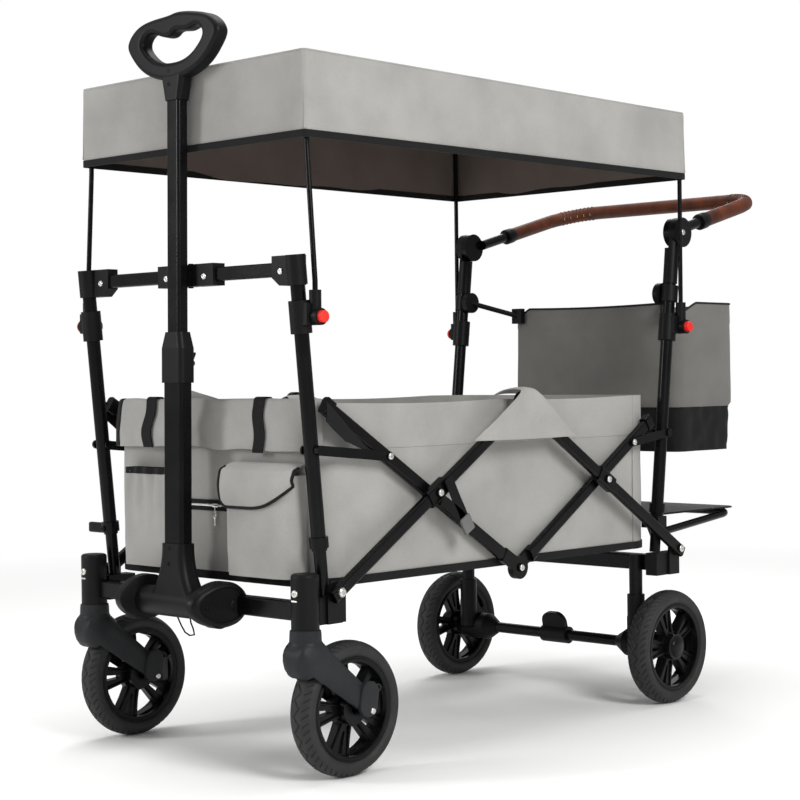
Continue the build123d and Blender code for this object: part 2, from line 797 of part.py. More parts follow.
# Basket: front and rear panels with rounded corners, two sides, two floor boards, two front pockets
panel_reach = basket_corner + 4.0
panel_low = basket_floor - 8.0
side_gap = 1.0
tab_half = 40.0            # raised middle of a side
flap_crest = 14.0
flap_cloth = 2.5
flap_face = -outer_y - half_depth - 7.0
flap_seam = flap_top + 3.0
board_half = 232.0
board_hinge = 42.0         # basket face to the end of a board
board_round = board_thickness / 2 - 0.1
pocket_low = basket_floor + 4.0
pocket_top = 458.0
pocket_wall = 4.0
pocket_side = 14.0
pocket_floor = 4.0
zip_pocket = (-222.0, -84.0, 36.0, 22.0)   # Y from, Y to, depth, corner
elastic_pocket = (60.0, 176.0, 26.0, 22.0)


def basket_block(x, inward, inset, low):
    half = basket_half_width - inset
    span = (x + inward * inset, x + inward * panel_reach * 3)
    body = block(span, (-half, half), (low, basket_rim + inset))
    order = 0 if inward > 0 else -1
    corners = body.edges().filter_by(Axis.Z).group_by(Axis.X)[order]
    return fillet(corners, basket_corner - inset)


def make_end_panel(x, inward):
    shell = basket_block(x, inward, 0, panel_low) - basket_block(x, inward, panel, 0)
    keep_y = (-basket_half_width, basket_half_width)
    return shell & block((x, x + inward * panel_reach), keep_y, (panel_low, basket_rim))


def make_side():
    x_span = (basket_front + panel_reach + side_gap, basket_rear - panel_reach - side_gap)
    y_span = (-basket_half_width, panel - basket_half_width)
    side = block(x_span, y_span, (panel_low, basket_rim))
    side += block((mid_x - tab_half, mid_x + tab_half), y_span, (basket_rim, flap_seam))
    flap = [
        (mid_x - flap_half, flap_low),
        (mid_x + flap_half, flap_low),
        (mid_x + flap_crest, flap_seam),
        (mid_x - flap_crest, flap_seam),
    ]
    side += outline(flap, flap_face, flap_face - flap_cloth)
    crest_x = (mid_x - flap_crest, mid_x + flap_crest)
    fold_y = (flap_face - flap_cloth, -basket_half_width)
    return side + block(crest_x, fold_y, (flap_seam - cloth, flap_seam))


def make_board(hinge_x, tip_x):
    z_from = basket_floor + 1
    board = block((hinge_x, tip_x), (-board_half, board_half), (z_from, z_from + board_thickness))
    order = 0 if hinge_x < tip_x else -1
    return fillet(board.edges().filter_by(Axis.Y).group_by(Axis.X)[order], board_round)


def make_pocket(y_from, y_to, depth, corner):
    front = basket_front - depth
    pocket = block((front, basket_front + basket_corner), (y_from, y_to), (pocket_low, pocket_top))
    pocket = fillet(pocket.edges().filter_by(Axis.Z).group_by(Axis.X)[0], corner)
    room_x = (front + pocket_wall, basket_front - pocket_wall)
    room_y = (y_from + pocket_side, y_to - pocket_side)
    room = block(room_x, room_y, (pocket_low + pocket_floor, pocket_top + 1))
    return pocket - room - basket_block(basket_front, 1, 0, 0)


save("basket_front_panel", make_end_panel(basket_front, 1))
save("basket_rear_panel", make_end_panel(basket_rear, -1))
save("basket_sides", pair(make_side()))
save("floor_board_front", make_board(basket_front + board_hinge, mid_x - board_gap / 2))
save("floor_board_rear", make_board(basket_rear - board_hinge, mid_x + board_gap / 2))
save("front_pockets", make_pocket(*zip_pocket), make_pocket(*elastic_pocket))

# Push handle: moulded stems on the rear posts, then a bent tube with a leather wrap
stem_foot = 757.0
stem_radius = 13.0
stem_elbow = push_z - 8.0
disc_inner = 240.0
disc_split = 251.0
disc_outer = 265.0
push_y = rear_post_y - 14.0
bar_start = disc_radius - 6.0
rise = radians(push_rise)


def push_point(along, y):
    return (push_x + along * cos(rise), y, push_z + along * sin(rise))


def push_sweep(start, section):
    corners = [(start, -push_y), (push_reach, -push_y), (push_reach, push_y), (start, push_y)]
    line = FilletPolyline(*[push_point(*corner) for corner in corners], radius=push_bend)
    plane = Plane(origin=push_point(start, -push_y), z_dir=(cos(rise), 0, sin(rise)))
    return sweep(plane * section, path=line)


def make_stem():
    foot, elbow = [post_point(rear_x, rear_post_y, z) for z in (stem_foot, stem_elbow)]
    split = -disc_split - lap
    seat_x = (push_x - 2 * disc_radius, push_x + 2 * disc_radius)
    stem = rod(foot, elbow, stem_radius)
    stem -= block(seat_x, (split, 0), (push_z - disc_radius - 1, push_z + disc_radius))
    stem += disc(push_x, push_z, -disc_outer, split, disc_radius)
    bore_low = post_point(rear_x, rear_post_y, stem_foot - stem_radius)
    return stem - rod(bore_low, post_point(rear_x, rear_post_y, rear_post_top), post_radius)


def make_push_bar():
    bar = push_sweep(bar_start, Circle(push_tube))
    for half in pair(disc(push_x, push_z, -disc_split, -disc_inner, disc_radius)):
        bar += half
    return bar


save("push_stems", pair(make_stem()))
save("push_handle_bar", make_push_bar())
save("push_handle_leather", push_sweep(leather_start, Circle(leather_radius) - Circle(push_tube + fit_gap)))


# Rear bag on two brackets, a fold-up tray, legs, axle and brake pedal
bag_corner = 20.0
hanger_span = (724.0, 753.0)
hanger_wall = 4.5
hanger_radius = 20.0
hanger_gap = 3.0
hanger_width = 10.0
hanger_arm = 5.0
hanger_pad = (24.0, 30.0)  # Y by Z, on the bag's front
pad_inset = 6.0
pedal_half = 30.0
pedal_sleeve = 16.0
fin_size = (54.0, 52.0)
fin_round = 20.0
fin_half = 4.5
fin_lift = 18.0
fin_lean = radians(15.0)
tray_tube = 7.0
tray_sheet = 3.5
tray_pivot_z = tray_z - 8.0
strut_inset = 10.0
strut_bend = 30.0
strut_foot_z = tray_z - 38.0
strut_tip_z = tray_z - 11.0
elbow_half = 9.0
elbow_radius = 8.0
hinge_plate = 5.0
hinge_post_half = 13.0


def make_bag_bracket():
    middle = (hanger_span[0] + hanger_span[1]) / 2
    x = rear_x(middle)
    y_from = -rear_post_y + post_radius + hanger_gap
    pad_y = (-bag_half_width + pad_inset, -bag_half_width + pad_inset + hanger_pad[0])
    arm_end = (bag_front - pad_inset, sum(pad_y) / 2, bag_top - hanger_pad[1] / 2)
    bracket = post_pipe(rear_x, rear_post_y, hanger_span, post_radius + hanger_wall, post_radius)
    bracket += disc(x, middle, y_from, y_from + hanger_width, hanger_radius)
    bracket += rod((x, y_from + hanger_arm, middle), arm_end, hanger_arm)
    pad_x = (bag_front - 2 * pad_inset, bag_front - lap)
    return bracket + block(pad_x, pad_y, (bag_top - hanger_pad[1], bag_top))


def make_bag():
    width, inner = (-bag_half_width, bag_half_width), bag_half_width - panel
    bag = block((bag_front, bag_rear), width, (bag_foot, bag_top))
    bag = fillet(bag.edges().filter_by(Axis.Z), bag_corner)
    inside = block((bag_front + panel, bag_rear - panel), (-inner, inner), (bag_foot + panel, bag_top + 1))
    return bag - fillet(inside.edges().filter_by(Axis.Z), bag_corner - panel)


def make_leg():
    rail_top = rail_z + rail_height / 2
    leg = rod((leg_x, -leg_y, leg_foot), (leg_x, -leg_y, leg_step), leg_sleeve)
    leg += rod((leg_x, -leg_y, leg_foot), (leg_x, -leg_y, rail_top), leg_radius)
    leg += disc(rear_wheel_x, wheel_radius, -boss_outer, -cone_base, boss_radius)
    cone_plane = Plane(origin=(rear_wheel_x, -cone_base, wheel_radius), z_dir=(0, 1, 0))
    leg += Solid.make_cone(boss_radius, axle_radius + 1, cone_base - cone_tip, cone_plane)
    web = [
        (leg_x - leg_radius, leg_foot),
        (leg_x - leg_radius, leg_foot + 2 * boss_radius),
        (leg_x + leg_radius, leg_foot + 2 * boss_radius),
        (rear_wheel_x + leg_radius, wheel_radius + boss_radius / 2),
        (rear_wheel_x, wheel_radius - boss_radius / 2),
    ]
    leg += outline(web, -leg_y - leg_radius, -leg_y + leg_radius)
    leg -= disc(rear_wheel_x, wheel_radius, -rear_wheel_y, 0, axle_radius)
    rail_x = (rear_rail_x - rail_depth / 2, rear_rail_x + rail_depth / 2)
    return leg - block(rail_x, (-foot_inner, 0), (rail_z - rail_height / 2, rail_top))


def make_axle():
    stub_end = rear_wheel_y + tyre_width / 2 + 2
    axle = disc(rear_wheel_x, wheel_radius, -boss_outer, boss_outer, axle_radius)
    return axle + disc(rear_wheel_x, wheel_radius, -stub_end, stub_end, stub_radius)


def make_pedal():
    pedal = disc(rear_wheel_x, wheel_radius, -pedal_half, pedal_half, pedal_sleeve)
    middle = (rear_wheel_x - fin_lift * sin(fin_lean), 0, wheel_radius + fin_lift * cos(fin_lean))
    plane = Plane(origin=middle, x_dir=(0, 1, 0), z_dir=(cos(fin_lean), 0, sin(fin_lean)))
    pedal += extrude(plane * RectangleRounded(*fin_size, fin_round), fin_half, both=True)
    return pedal - disc(rear_wheel_x, wheel_radius, -pedal_half - 1, pedal_half + 1, axle_radius + fit_gap)


def make_tray_frame():
    y = tray_half_width - strut_inset
    front = tray_hinge_x + elbow_radius
    rear = tray_tip - strut_inset
    ends = ((front, strut_foot_z), (rear, strut_tip_z))
    corners = [(ends[0], -y), (ends[1], -y), (ends[1], y), (ends[0], y)]
    line = FilletPolyline(*[place_at(end, side) for end, side in corners], radius=strut_bend)
    along = (rear - front, 0, strut_tip_z - strut_foot_z)
    frame = sweep(Plane(origin=place_at(ends[0], -y), z_dir=along) * Circle(tray_tube), path=line)
    shape = [
        (tray_hinge_x - elbow_radius, tray_pivot_z),
        (front + tray_tube, strut_foot_z - elbow_half),
        (front + 3 * tray_tube, strut_foot_z - tray_tube / 2),
        (front + 3 * tray_tube, tray_z - tray_sheet),
        (tray_hinge_x, tray_z - tray_sheet),
    ]
    elbow = outline(shape, -y - elbow_half, -y + elbow_half)
    elbow += disc(tray_hinge_x, tray_pivot_z, -y - elbow_half, -y + elbow_half, elbow_radius)
    elbow -= disc(tray_hinge_x, tray_pivot_z, -y - 2 * elbow_half, -y + 2 * elbow_half, pin_radius + fit_gap)
    for half in pair(elbow):
        frame += half
    return frame


def make_tray_hinge():
    y = tray_half_width
    x = rear_x(tray_pivot_z)
    z_span = (tray_pivot_z - hinge_post_half, tray_pivot_z + elbow_radius)
    plate = block((x, tray_hinge_x + elbow_half), (-y - hinge_plate, -y), z_span)
    plate += block((x - hinge_post_half, x + hinge_post_half), (-rear_post_y - hinge_post_half, -y), z_span)
    post_low = post_point(rear_x, rear_post_y, post_foot)
    plate -= rod(post_low, post_point(rear_x, rear_post_y, sleeve_z + sleeve_lap), inner_radius)
    pin_y = (-y - hinge_plate / 2, -y + strut_inset + elbow_half + rivet_head)
    return plate + disc(tray_hinge_x, tray_pivot_z, *pin_y, pin_radius)


def make_tray_panel():
    half = tray_half_width - 2
    return block((tray_hinge_x + elbow_half + 3, tray_tip), (-half, half), (tray_z - tray_sheet, tray_z))


save("bag_brackets", pair(make_bag_bracket()))
save("rear_bag", make_bag())
save("rear_legs", pair(make_leg()))
save("rear_axle", make_axle())
save("brake_pedal", make_pedal())
save("tray_frame", make_tray_frame())
save("tray_hinges", pair(make_tray_hinge()))
save("tray_panel", make_tray_panel())

# Pins at the lower ends of the outer bars and through the pull handle's barrel
pin_end = bracket_y + lobe - lobe_floor
barrel_pin = disc(handle_x, handle_z, -pin_end, pin_end, handle_pin)
save("front_pins", pair(rivet(front_pivot, outer_low, -foot_outer)), barrel_pin)
save("rear_feet", pair(rear_foot), pair(rivet(rear_pivot, outer_low, -foot_outer)))
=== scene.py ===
import bpy
import math
from mathutils import Matrix, Vector, noise


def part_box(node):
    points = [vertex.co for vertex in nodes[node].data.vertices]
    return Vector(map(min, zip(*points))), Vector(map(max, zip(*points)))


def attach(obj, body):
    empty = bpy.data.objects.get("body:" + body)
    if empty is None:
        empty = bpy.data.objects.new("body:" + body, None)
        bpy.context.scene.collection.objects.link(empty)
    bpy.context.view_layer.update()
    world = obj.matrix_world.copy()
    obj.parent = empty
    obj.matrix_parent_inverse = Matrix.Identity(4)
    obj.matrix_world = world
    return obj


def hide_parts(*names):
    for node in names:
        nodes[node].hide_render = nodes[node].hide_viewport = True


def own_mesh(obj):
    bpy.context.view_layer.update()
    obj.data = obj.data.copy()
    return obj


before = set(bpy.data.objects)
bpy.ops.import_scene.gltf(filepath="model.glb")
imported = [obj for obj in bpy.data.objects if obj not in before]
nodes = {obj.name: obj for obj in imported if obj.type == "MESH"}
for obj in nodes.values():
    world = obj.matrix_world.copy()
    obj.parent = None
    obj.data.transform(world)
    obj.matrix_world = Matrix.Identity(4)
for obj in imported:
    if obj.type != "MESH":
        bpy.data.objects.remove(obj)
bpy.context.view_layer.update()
print("frame loaded:", len(nodes), "nodes")

mm = 0.001
tiny = 0.02 * mm  # a skin's radius where it closes to a point
middle = (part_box("front_rising_bars")[1].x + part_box("rear_falling_bars")[0].x) / 2  # centre of the scissors


def vec(x, y, z):  # a vector given in millimetres
    return Vector((x * mm, y * mm, z * mm))


def fromMiddle(x, y, z):  # a place in millimetres, x from the scissors' centre
    return Vector((middle + x * mm, y * mm, z * mm))


def scaled(pairs):
    return [(first * mm, second * mm) for first, second in pairs]


def turnsOf(count):
    return [2 * math.pi * step / count for step in range(count)]


def extent(node):  # corners, centre and half size of a node's box
    low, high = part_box(node)
    return low, high, (low + high) / 2, (high - low) / 2


def rgb(code):
    channels = [int(code[i:i + 2], 16) / 255 for i in (1, 3, 5)]
    return [c / 12.92 if c <= 0.04045 else ((c + 0.055) / 1.055) ** 2.4 for c in channels] + [1.0]


# materials

def addNode(tree, kind, settings=(), links=()):
    added = tree.nodes.new(kind)
    for name, value in dict(settings).items():
        if name in added.inputs:
            added.inputs[name].default_value = value
        else:
            setattr(added, name, value)
    for source, name in links:
        tree.links.new(source, added.inputs[name])
    return added


def newMaterial(name, settings):  # also gives the place on the object, for its textures
    material = bpy.data.materials.new(name)
    material.use_nodes = True
    tree = material.node_tree
    shader = tree.nodes["Principled BSDF"]
    for socket, value in settings.items():
        shader.inputs[socket].default_value = value
    return material, tree, shader, addNode(tree, "ShaderNodeTexCoord").outputs["Object"]


def noiseOf(tree, place, size, detail):  # noise with features of this size in millimetres
    settings = {"Scale": 1 / (size * mm), "Detail": detail}
    return addNode(tree, "ShaderNodeTexNoise", settings, [(place, "Vector")]).outputs["Fac"]


def mathOf(tree, operation, links, factor=None):
    added = addNode(tree, "ShaderNodeMath", {"operation": operation}, links)
    if factor is not None:
        added.inputs[1].default_value = factor
    return added.outputs[0]


def tinted(tree, shader, source, low, high):  # low and high: a place on the ramp and its colour
    ramp = addNode(tree, "ShaderNodeValToRGB", links=[(source, "Fac")])
    for element, (position, colour) in zip(ramp.color_ramp.elements, (low, high)):
        element.position, element.color = position, rgb(colour)
    tree.links.new(ramp.outputs["Color"], shader.inputs["Base Color"])


def roughened(tree, shader, source, low, high):
    spread = addNode(tree, "ShaderNodeMapRange", {"To Min": low, "To Max": high}, [(source, "Value")])
    tree.links.new(spread.outputs["Result"], shader.inputs["Roughness"])


def bumped(tree, shader, source, strength, depth, under=()):  # depth in millimetres
    settings = {"Strength": strength, "Distance": depth * mm}
    bump = addNode(tree, "ShaderNodeBump", settings, [(source, "Height"), *under])
    tree.links.new(bump.outputs["Normal"], shader.inputs["Normal"])
    return bump.outputs["Normal"]


def moulded(name, colour, lift, roughness, grain, depth):
    # spark-eroded moulded plastic: an even fine grain that blurs its highlights
    settings = {"Roughness": roughness, "IOR": 1.5, "Specular IOR Level": 0.14}
    material, tree, shader, place = newMaterial(name, settings)
    broad = noiseOf(tree, place, 60, 4.0)
    tinted(tree, shader, broad, (0.3, colour), (0.75, lift))
    roughened(tree, shader, broad, roughness - 0.06, roughness + 0.08)
    bumped(tree, shader, noiseOf(tree, place, grain, 3.0), depth, 0.15)
    return material


def woven(name, colour, lift, thread, depth, sheen):
    # plain-weave polyester: threads over and under, drawn wider than the real 0.4 mm so that they show
    settings = {"Roughness": 0.85, "Sheen Weight": sheen, "Sheen Roughness": 0.5, "Specular IOR Level": 0.25}
    material, tree, shader, place = newMaterial(name, settings)
    flat = addNode(tree, "ShaderNodeTexCoord").outputs["UV"]
    axes = addNode(tree, "ShaderNodeSeparateXYZ", links=[(flat, "Vector")]).outputs
    waves = []
    for axis in "XY":
        wound = mathOf(tree, "MULTIPLY", [(axes[axis], 0)], math.pi / (thread * mm))
        waves.append(mathOf(tree, "SINE", [(wound, 0)]))
    weave = mathOf(tree, "MULTIPLY", [(waves[0], 0), (waves[1], 1)])
    blotch = noiseOf(tree, place, 90, 5.0)
    slub = noiseOf(tree, place, 3, 2.0)
    mixed = mathOf(tree, "MULTIPLY_ADD", [(weave, 0), (blotch, 2)], 0.10)
    shade = mathOf(tree, "MULTIPLY_ADD", [(slub, 0), (mixed, 2)], 0.25)
    tinted(tree, shader, shade, (0.35, colour), (0.95, lift))
    threads = bumped(tree, shader, weave, depth, 0.25)
    bumped(tree, shader, blotch, 0.12, 2.5, [(threads, "Normal")])
    return material


def powderCoat():
    # black powder-coated steel tube: glossy, with a faint orange peel
    settings = {"Roughness": 0.24, "IOR": 1.5, "Specular IOR Level": 0.15}
    material, tree, shader, place = newMaterial("powderCoatedSteel", settings)
    dust = noiseOf(tree, place, 45, 4.0)
    tinted(tree, shader, dust, (0.35, "#070708"), (0.8, "#0C0C0E"))
    roughened(tree, shader, dust, 0.18, 0.34)
    bumped(tree, shader, noiseOf(tree, place, 2.2, 2.0), 0.08, 0.1)
    return material


def rubber():
    # vulcanised tyre rubber: matt, slightly dusty, with a pebbled skin
    material, tree, shader, place = newMaterial("vulcanisedRubber", {"Roughness": 0.7, "IOR": 1.52})
    tinted(tree, shader, noiseOf(tree, place, 25, 5.0), (0.35, "#141415"), (0.8, "#222223"))
    pebble = addNode(tree, "ShaderNodeTexVoronoi", {"Scale": 1 / (1.4 * mm)}, [(place, "Vector")])
    bumped(tree, shader, pebble.outputs["Distance"], 0.15, 0.2)
    return material


def leather():
    # smooth dyed leather: pebbled grain, mottled dye, hardly waxed
    settings = {"Roughness": 0.48, "IOR": 1.45, "Specular IOR Level": 0.25}
    material, tree, shader, place = newMaterial("dyedLeather", settings)
    tinted(tree, shader, noiseOf(tree, place, 30, 6.0), (0.3, "#3A1B0F"), (0.75, "#5F2E17"))
    pores = {"Scale": 1 / (1.8 * mm), "feature": "DISTANCE_TO_EDGE"}
    grain = addNode(tree, "ShaderNodeTexVoronoi", pores, [(place, "Vector")])
    bumped(tree, shader, grain.outputs["Distance"], 0.25, 0.25)
    return material


def plated(name, colour, roughness):
    # zinc or nickel plated steel: bright, softly brushed by tumbling
    material, tree, shader, place = newMaterial(name, {"Roughness": roughness, "Metallic": 1.0})
    scuff = noiseOf(tree, place, 1.5, 3.0)
    tinted(tree, shader, scuff, (0.3, colour), (0.8, "#F2F1EE"))
    roughened(tree, shader, scuff, roughness - 0.08, roughness + 0.1)
    return material


def webbingTape():
    # woven polypropylene webbing: ribs across the tape, 1.6 mm apart
    settings = {"Roughness": 0.62, "Specular IOR Level": 0.15}
    material, tree, shader, _ = newMaterial("polypropyleneWebbing", settings)
    flat = addNode(tree, "ShaderNodeTexCoord").outputs["UV"]
    bands = {"Scale": 2 * math.pi / (1.6 * mm) / 20, "bands_direction": "Y"}
    ribs = addNode(tree, "ShaderNodeTexWave", bands, [(flat, "Vector")]).outputs["Fac"]
    tinted(tree, shader, ribs, (0.2, "#070708"), (0.9, "#0F0F10"))
    bumped(tree, shader, ribs, 0.4, 0.3)
    return material


finish = {
    "tube": powderCoat(),
    "nylon": moulded("mouldedNylon", "#0C0C0D", "#131314", 0.42, 0.8, 0.25),
    "fork": moulded("glassFilledNylon", "#222324", "#2C2D2F", 0.46, 1.1, 0.35),
    "rim": moulded("mouldedAbs", "#0A0A0B", "#101011", 0.28, 0.8, 0.08),
    "red": moulded("redAbs", "#DA2A22", "#E8443A", 0.3, 0.8, 0.05),
    "rubber": rubber(),
    "grey": woven("greyPolyester", "#8C8B88", "#A2A19D", 0.9, 0.25, 0.15),
    # darker grey for the rear bag: partly a darker cloth, partly painted shade standing in for the canopy's
    # shadow on the bag
    "slateAndShade": woven("slatePolyesterAndPaintedShade", "#615F5C", "#72706C", 0.9, 0.25, 0.15),
    "lining": woven("coatedLining", "#5C514B", "#6A5F58", 0.9, 0.2, 0.1),
    "black": woven("blackPolyester", "#08080A", "#111112", 0.9, 0.3, 0.04),
    "charcoal": woven("charcoalPolyester", "#262627", "#313132", 0.9, 0.3, 0.15),
    "webbing": webbingTape(),
    "leather": leather(),
    "thread": woven("waxedThread", "#8F7C68", "#A3907B", 0.5, 0.2, 0.1),
    "acetal": moulded("greyAcetal", "#5C5C5B", "#6A6A69", 0.4, 0.8, 0.1),
    "steel": plated("zincPlatedSteel", "#B9B8B4", 0.32),
    "nickel": plated("nickelPlatedSteel", "#C8C7C3", 0.18),
}
print("materials:", len(finish))

nodeFinish = {
    "tube": ["front_posts", "front_lower_rail", "front_crossbar_tubes", "front_rising_bars",
             "front_falling_bars", "rear_rising_bars", "rear_falling_bars", "front_links", "rear_links",
             "handle_outer_tube", "handle_inner_tube", "rear_posts", "rear_lower_rail", "rear_axle",
             "push_handle_bar", "tray_frame", "canopy_front_bow", "canopy_rear_bow"],
    "nylon": ["caster_housings", "front_feet", "front_corner_brackets", "front_crossbar_hinge",
              "front_canopy_sockets", "handle_bracket", "handle_yoke", "handle_collar", "handle_latch",
              "handle_grip", "rear_canopy_sockets", "bag_brackets", "rear_feet", "rear_legs", "push_stems",
              "tray_hinges", "brake_pedal"],
    "fork": ["caster_fork_left", "caster_fork_right"],
    "rim": ["front_rim_left", "front_rim_right", "rear_rim_left", "rear_rim_right"],
    "rubber": ["front_tyre_left", "front_tyre_right", "rear_tyre_left", "rear_tyre_right"],
    "steel": ["front_pins"],
    "leather": ["push_handle_leather"],
    "red": [name for name in nodes if name.startswith("canopy_button")],
    "grey": ["canopy_cover", "basket_front_panel", "basket_rear_panel", "basket_sides", "front_pockets",
             "rear_bag"],
    "charcoal": ["tray_panel", "floor_board_front", "floor_board_rear"],
}
for key, names in nodeFinish.items():
    for name in names:
        nodes[name].data.materials.clear()
        nodes[name].data.materials.append(finish[key])


# modelling helpers

def clearSelection():
    active = bpy.context.object
    if active and active.mode != "OBJECT":
        bpy.ops.object.mode_set(mode="OBJECT")
    bpy.ops.object.select_all(action="DESELECT")


def makeActive(piece):
    clearSelection()
    piece.select_set(True)
    bpy.context.view_layer.objects.active = piece


def startGrid(name, across, along):
    clearSelection()
    bpy.ops.mesh.primitive_grid_add(x_subdivisions=across, y_subdivisions=along, size=1)
    piece = bpy.context.object
    piece.name = piece.data.name = name
    return piece


def sheetOf(name, across, along, place):  # a grid of cloth laid out by place(u, v), both from 0 to 1
    piece = startGrid(name, across, along)
    for vert in piece.data.vertices:
        vert.co = place(vert.co.x + 0.5, vert.co.y + 0.5)
    return piece


def startEdit():
    bpy.ops.object.mode_set(mode="EDIT")
    bpy.ops.mesh.select_all(action="SELECT")


def ringPiece(name, rings, openEnds=True):  # a skin through closed rings of equal count
    around, along = len(rings[0]), len(rings) - 1
    piece = startGrid(name, around, along)
    for vert in piece.data.vertices:
        column = round((vert.co.x + 0.5) * around) % around
        vert.co = rings[round((vert.co.y + 0.5) * along)][column]
    startEdit()
    bpy.ops.mesh.remove_doubles(threshold=tiny)
    if not openEnds:
        bpy.ops.mesh.fill_holes(sides=0)
    bpy.ops.mesh.normals_make_consistent(inside=False)
    bpy.ops.object.mode_set(mode="OBJECT")
    return piece


def modify(piece, kind, **settings):
    makeActive(piece)
    modifier = piece.modifiers.new(kind.lower(), kind)
    for name, value in settings.items():
        setattr(modifier, name, value)
    bpy.ops.object.modifier_apply(modifier=modifier.name)


def boxUv(piece):  # lays the weave flat on each face, in metres
    layer = piece.data.uv_layers.active or piece.data.uv_layers.new(name="weave")
    for face in piece.data.polygons:
        main = max(range(3), key=lambda axis: abs(face.normal[axis]))
        pair = [axis for axis in range(3) if axis != main]
        for corner in face.loop_indices:
            point = piece.data.vertices[piece.data.loops[corner].vertex_index].co
            layer.data[corner].uv = (point[pair[0]], point[pair[1]])


def dress(piece, key, body, angle=40):
    makeActive(piece)
    bpy.ops.object.shade_smooth_by_angle(angle=math.radians(angle))
    if not piece.data.materials:
        piece.data.materials.append(finish[key])
    boxUv(piece)
    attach(piece, body)
    return piece


def thicken(piece, thickness, offset=-1.0, inner=None, outer="grey"):
    piece.data.materials.append(finish[outer])
    step = 0
    if inner:
        piece.data.materials.append(finish[inner])
        step = 1
    modify(piece, "SOLIDIFY", thickness=thickness, offset=offset, material_offset=step, use_even_offset=True)


def mirrored(piece, name):  # the same piece on the other side
    makeActive(piece)
    bpy.ops.object.duplicate()
    twin = bpy.context.object
    twin.name = twin.data.name = name
    for vert in twin.data.vertices:
        vert.co.y = -vert.co.y
    startEdit()
    bpy.ops.mesh.flip_normals()
    bpy.ops.object.mode_set(mode="OBJECT")
    return twin


def joined(pieces, name):
    clearSelection()
    for piece in pieces:
        piece.select_set(True)
    bpy.context.view_layer.objects.active = pieces[0]
    bpy.ops.object.join()
    whole = bpy.context.object
    whole.name = whole.data.name = name
    return whole


def ripple(point, size, seed):
    return noise.noise(Vector(point) / size + Vector((seed, seed * 1.7, seed * 0.6)))


def loopPoints(halfX, halfY, corner, counts=(20, 14, 5)):  # a rounded rectangle, the same count at any size
    points = []
    longCount, shortCount, cornerCount = counts
    for quarter in range(4):
        signX = 1 if quarter in (0, 3) else -1
        signY = 1 if quarter in (0, 1) else -1
        centre = Vector((signX * (halfX - corner), signY * (halfY - corner)))
        for step in range(cornerCount + 1):
            angle = math.pi / 2 * (quarter + step / cornerCount)
            points.append(centre + corner * Vector((math.cos(angle), math.sin(angle))))
        steps = longCount if quarter in (0, 2) else shortCount
        nextX = -signX if quarter in (0, 2) else signX
        nextY = signY if quarter in (0, 2) else -signY
        target = Vector((nextX * (halfX - corner), nextY * (halfY - corner)))
        angle = math.pi / 2 * (quarter + 1)
        offset = corner * Vector((math.cos(angle), math.sin(angle)))
        for step in range(1, steps):
            points.append(centre.lerp(target, step / steps) + offset)
    return points


def circle(centre, radius, axisX, axisY, count):
    axisX, axisY = Vector(axisX), Vector(axisY)
    return [Vector(centre) + radius * (math.cos(a) * axisX + math.sin(a) * axisY) for a in turnsOf(count)]


def tubeAlong(name, points, radius, sides=10, closed=False):  # round bar or piping along points
    rings = []
    count = len(points)
    side = Vector((0, 0, 1))
    for i, point in enumerate(points):
        before = points[i - 1] if (i or closed) else point
        after = points[(i + 1) % count] if (i < count - 1 or closed) else point
        ahead = (Vector(after) - Vector(before)).normalized()
        if abs(side.dot(ahead)) < 0.99:
            side = (side - ahead * side.dot(ahead)).normalized()
        else:
            side = ahead.orthogonal()
        rings.append(circle(point, radius, side, ahead.cross(side), sides))
    if closed:
        rings.append(rings[0])
    return ringPiece(name, rings, openEnds=closed)


def lathe(name, centre, axis, profile, count=40):  # profile: radius and height along the axis
    axis = Vector(axis).normalized()
    sideX = axis.orthogonal().normalized()
    sideY = axis.cross(sideX)
    rings = []
    for radius, height in profile:
        rings.append(circle(Vector(centre) + axis * height, max(radius, tiny), sideX, sideY, count))
    return ringPiece(name, rings, openEnds=False)


def ribbon(name, points, width, thickness, across):  # flat tape along points, its width along across
    half = Vector(across).normalized() * width / 2

    def place(u, v):
        at = v * (len(points) - 1)
        low = min(int(at), len(points) - 2)
        return Vector(points[low]).lerp(Vector(points[low + 1]), at - low) + half * (2 * u - 1)
    piece = sheetOf(name, 6, max(len(points) - 1, 2), place)
    modify(piece, "SOLIDIFY", thickness=thickness, offset=0)
    modify(piece, "BEVEL", width=thickness * 0.35, segments=2, limit_method="ANGLE")
    return piece


# canopy: one sheet over two bows, dark lining, bound hem, piped corners

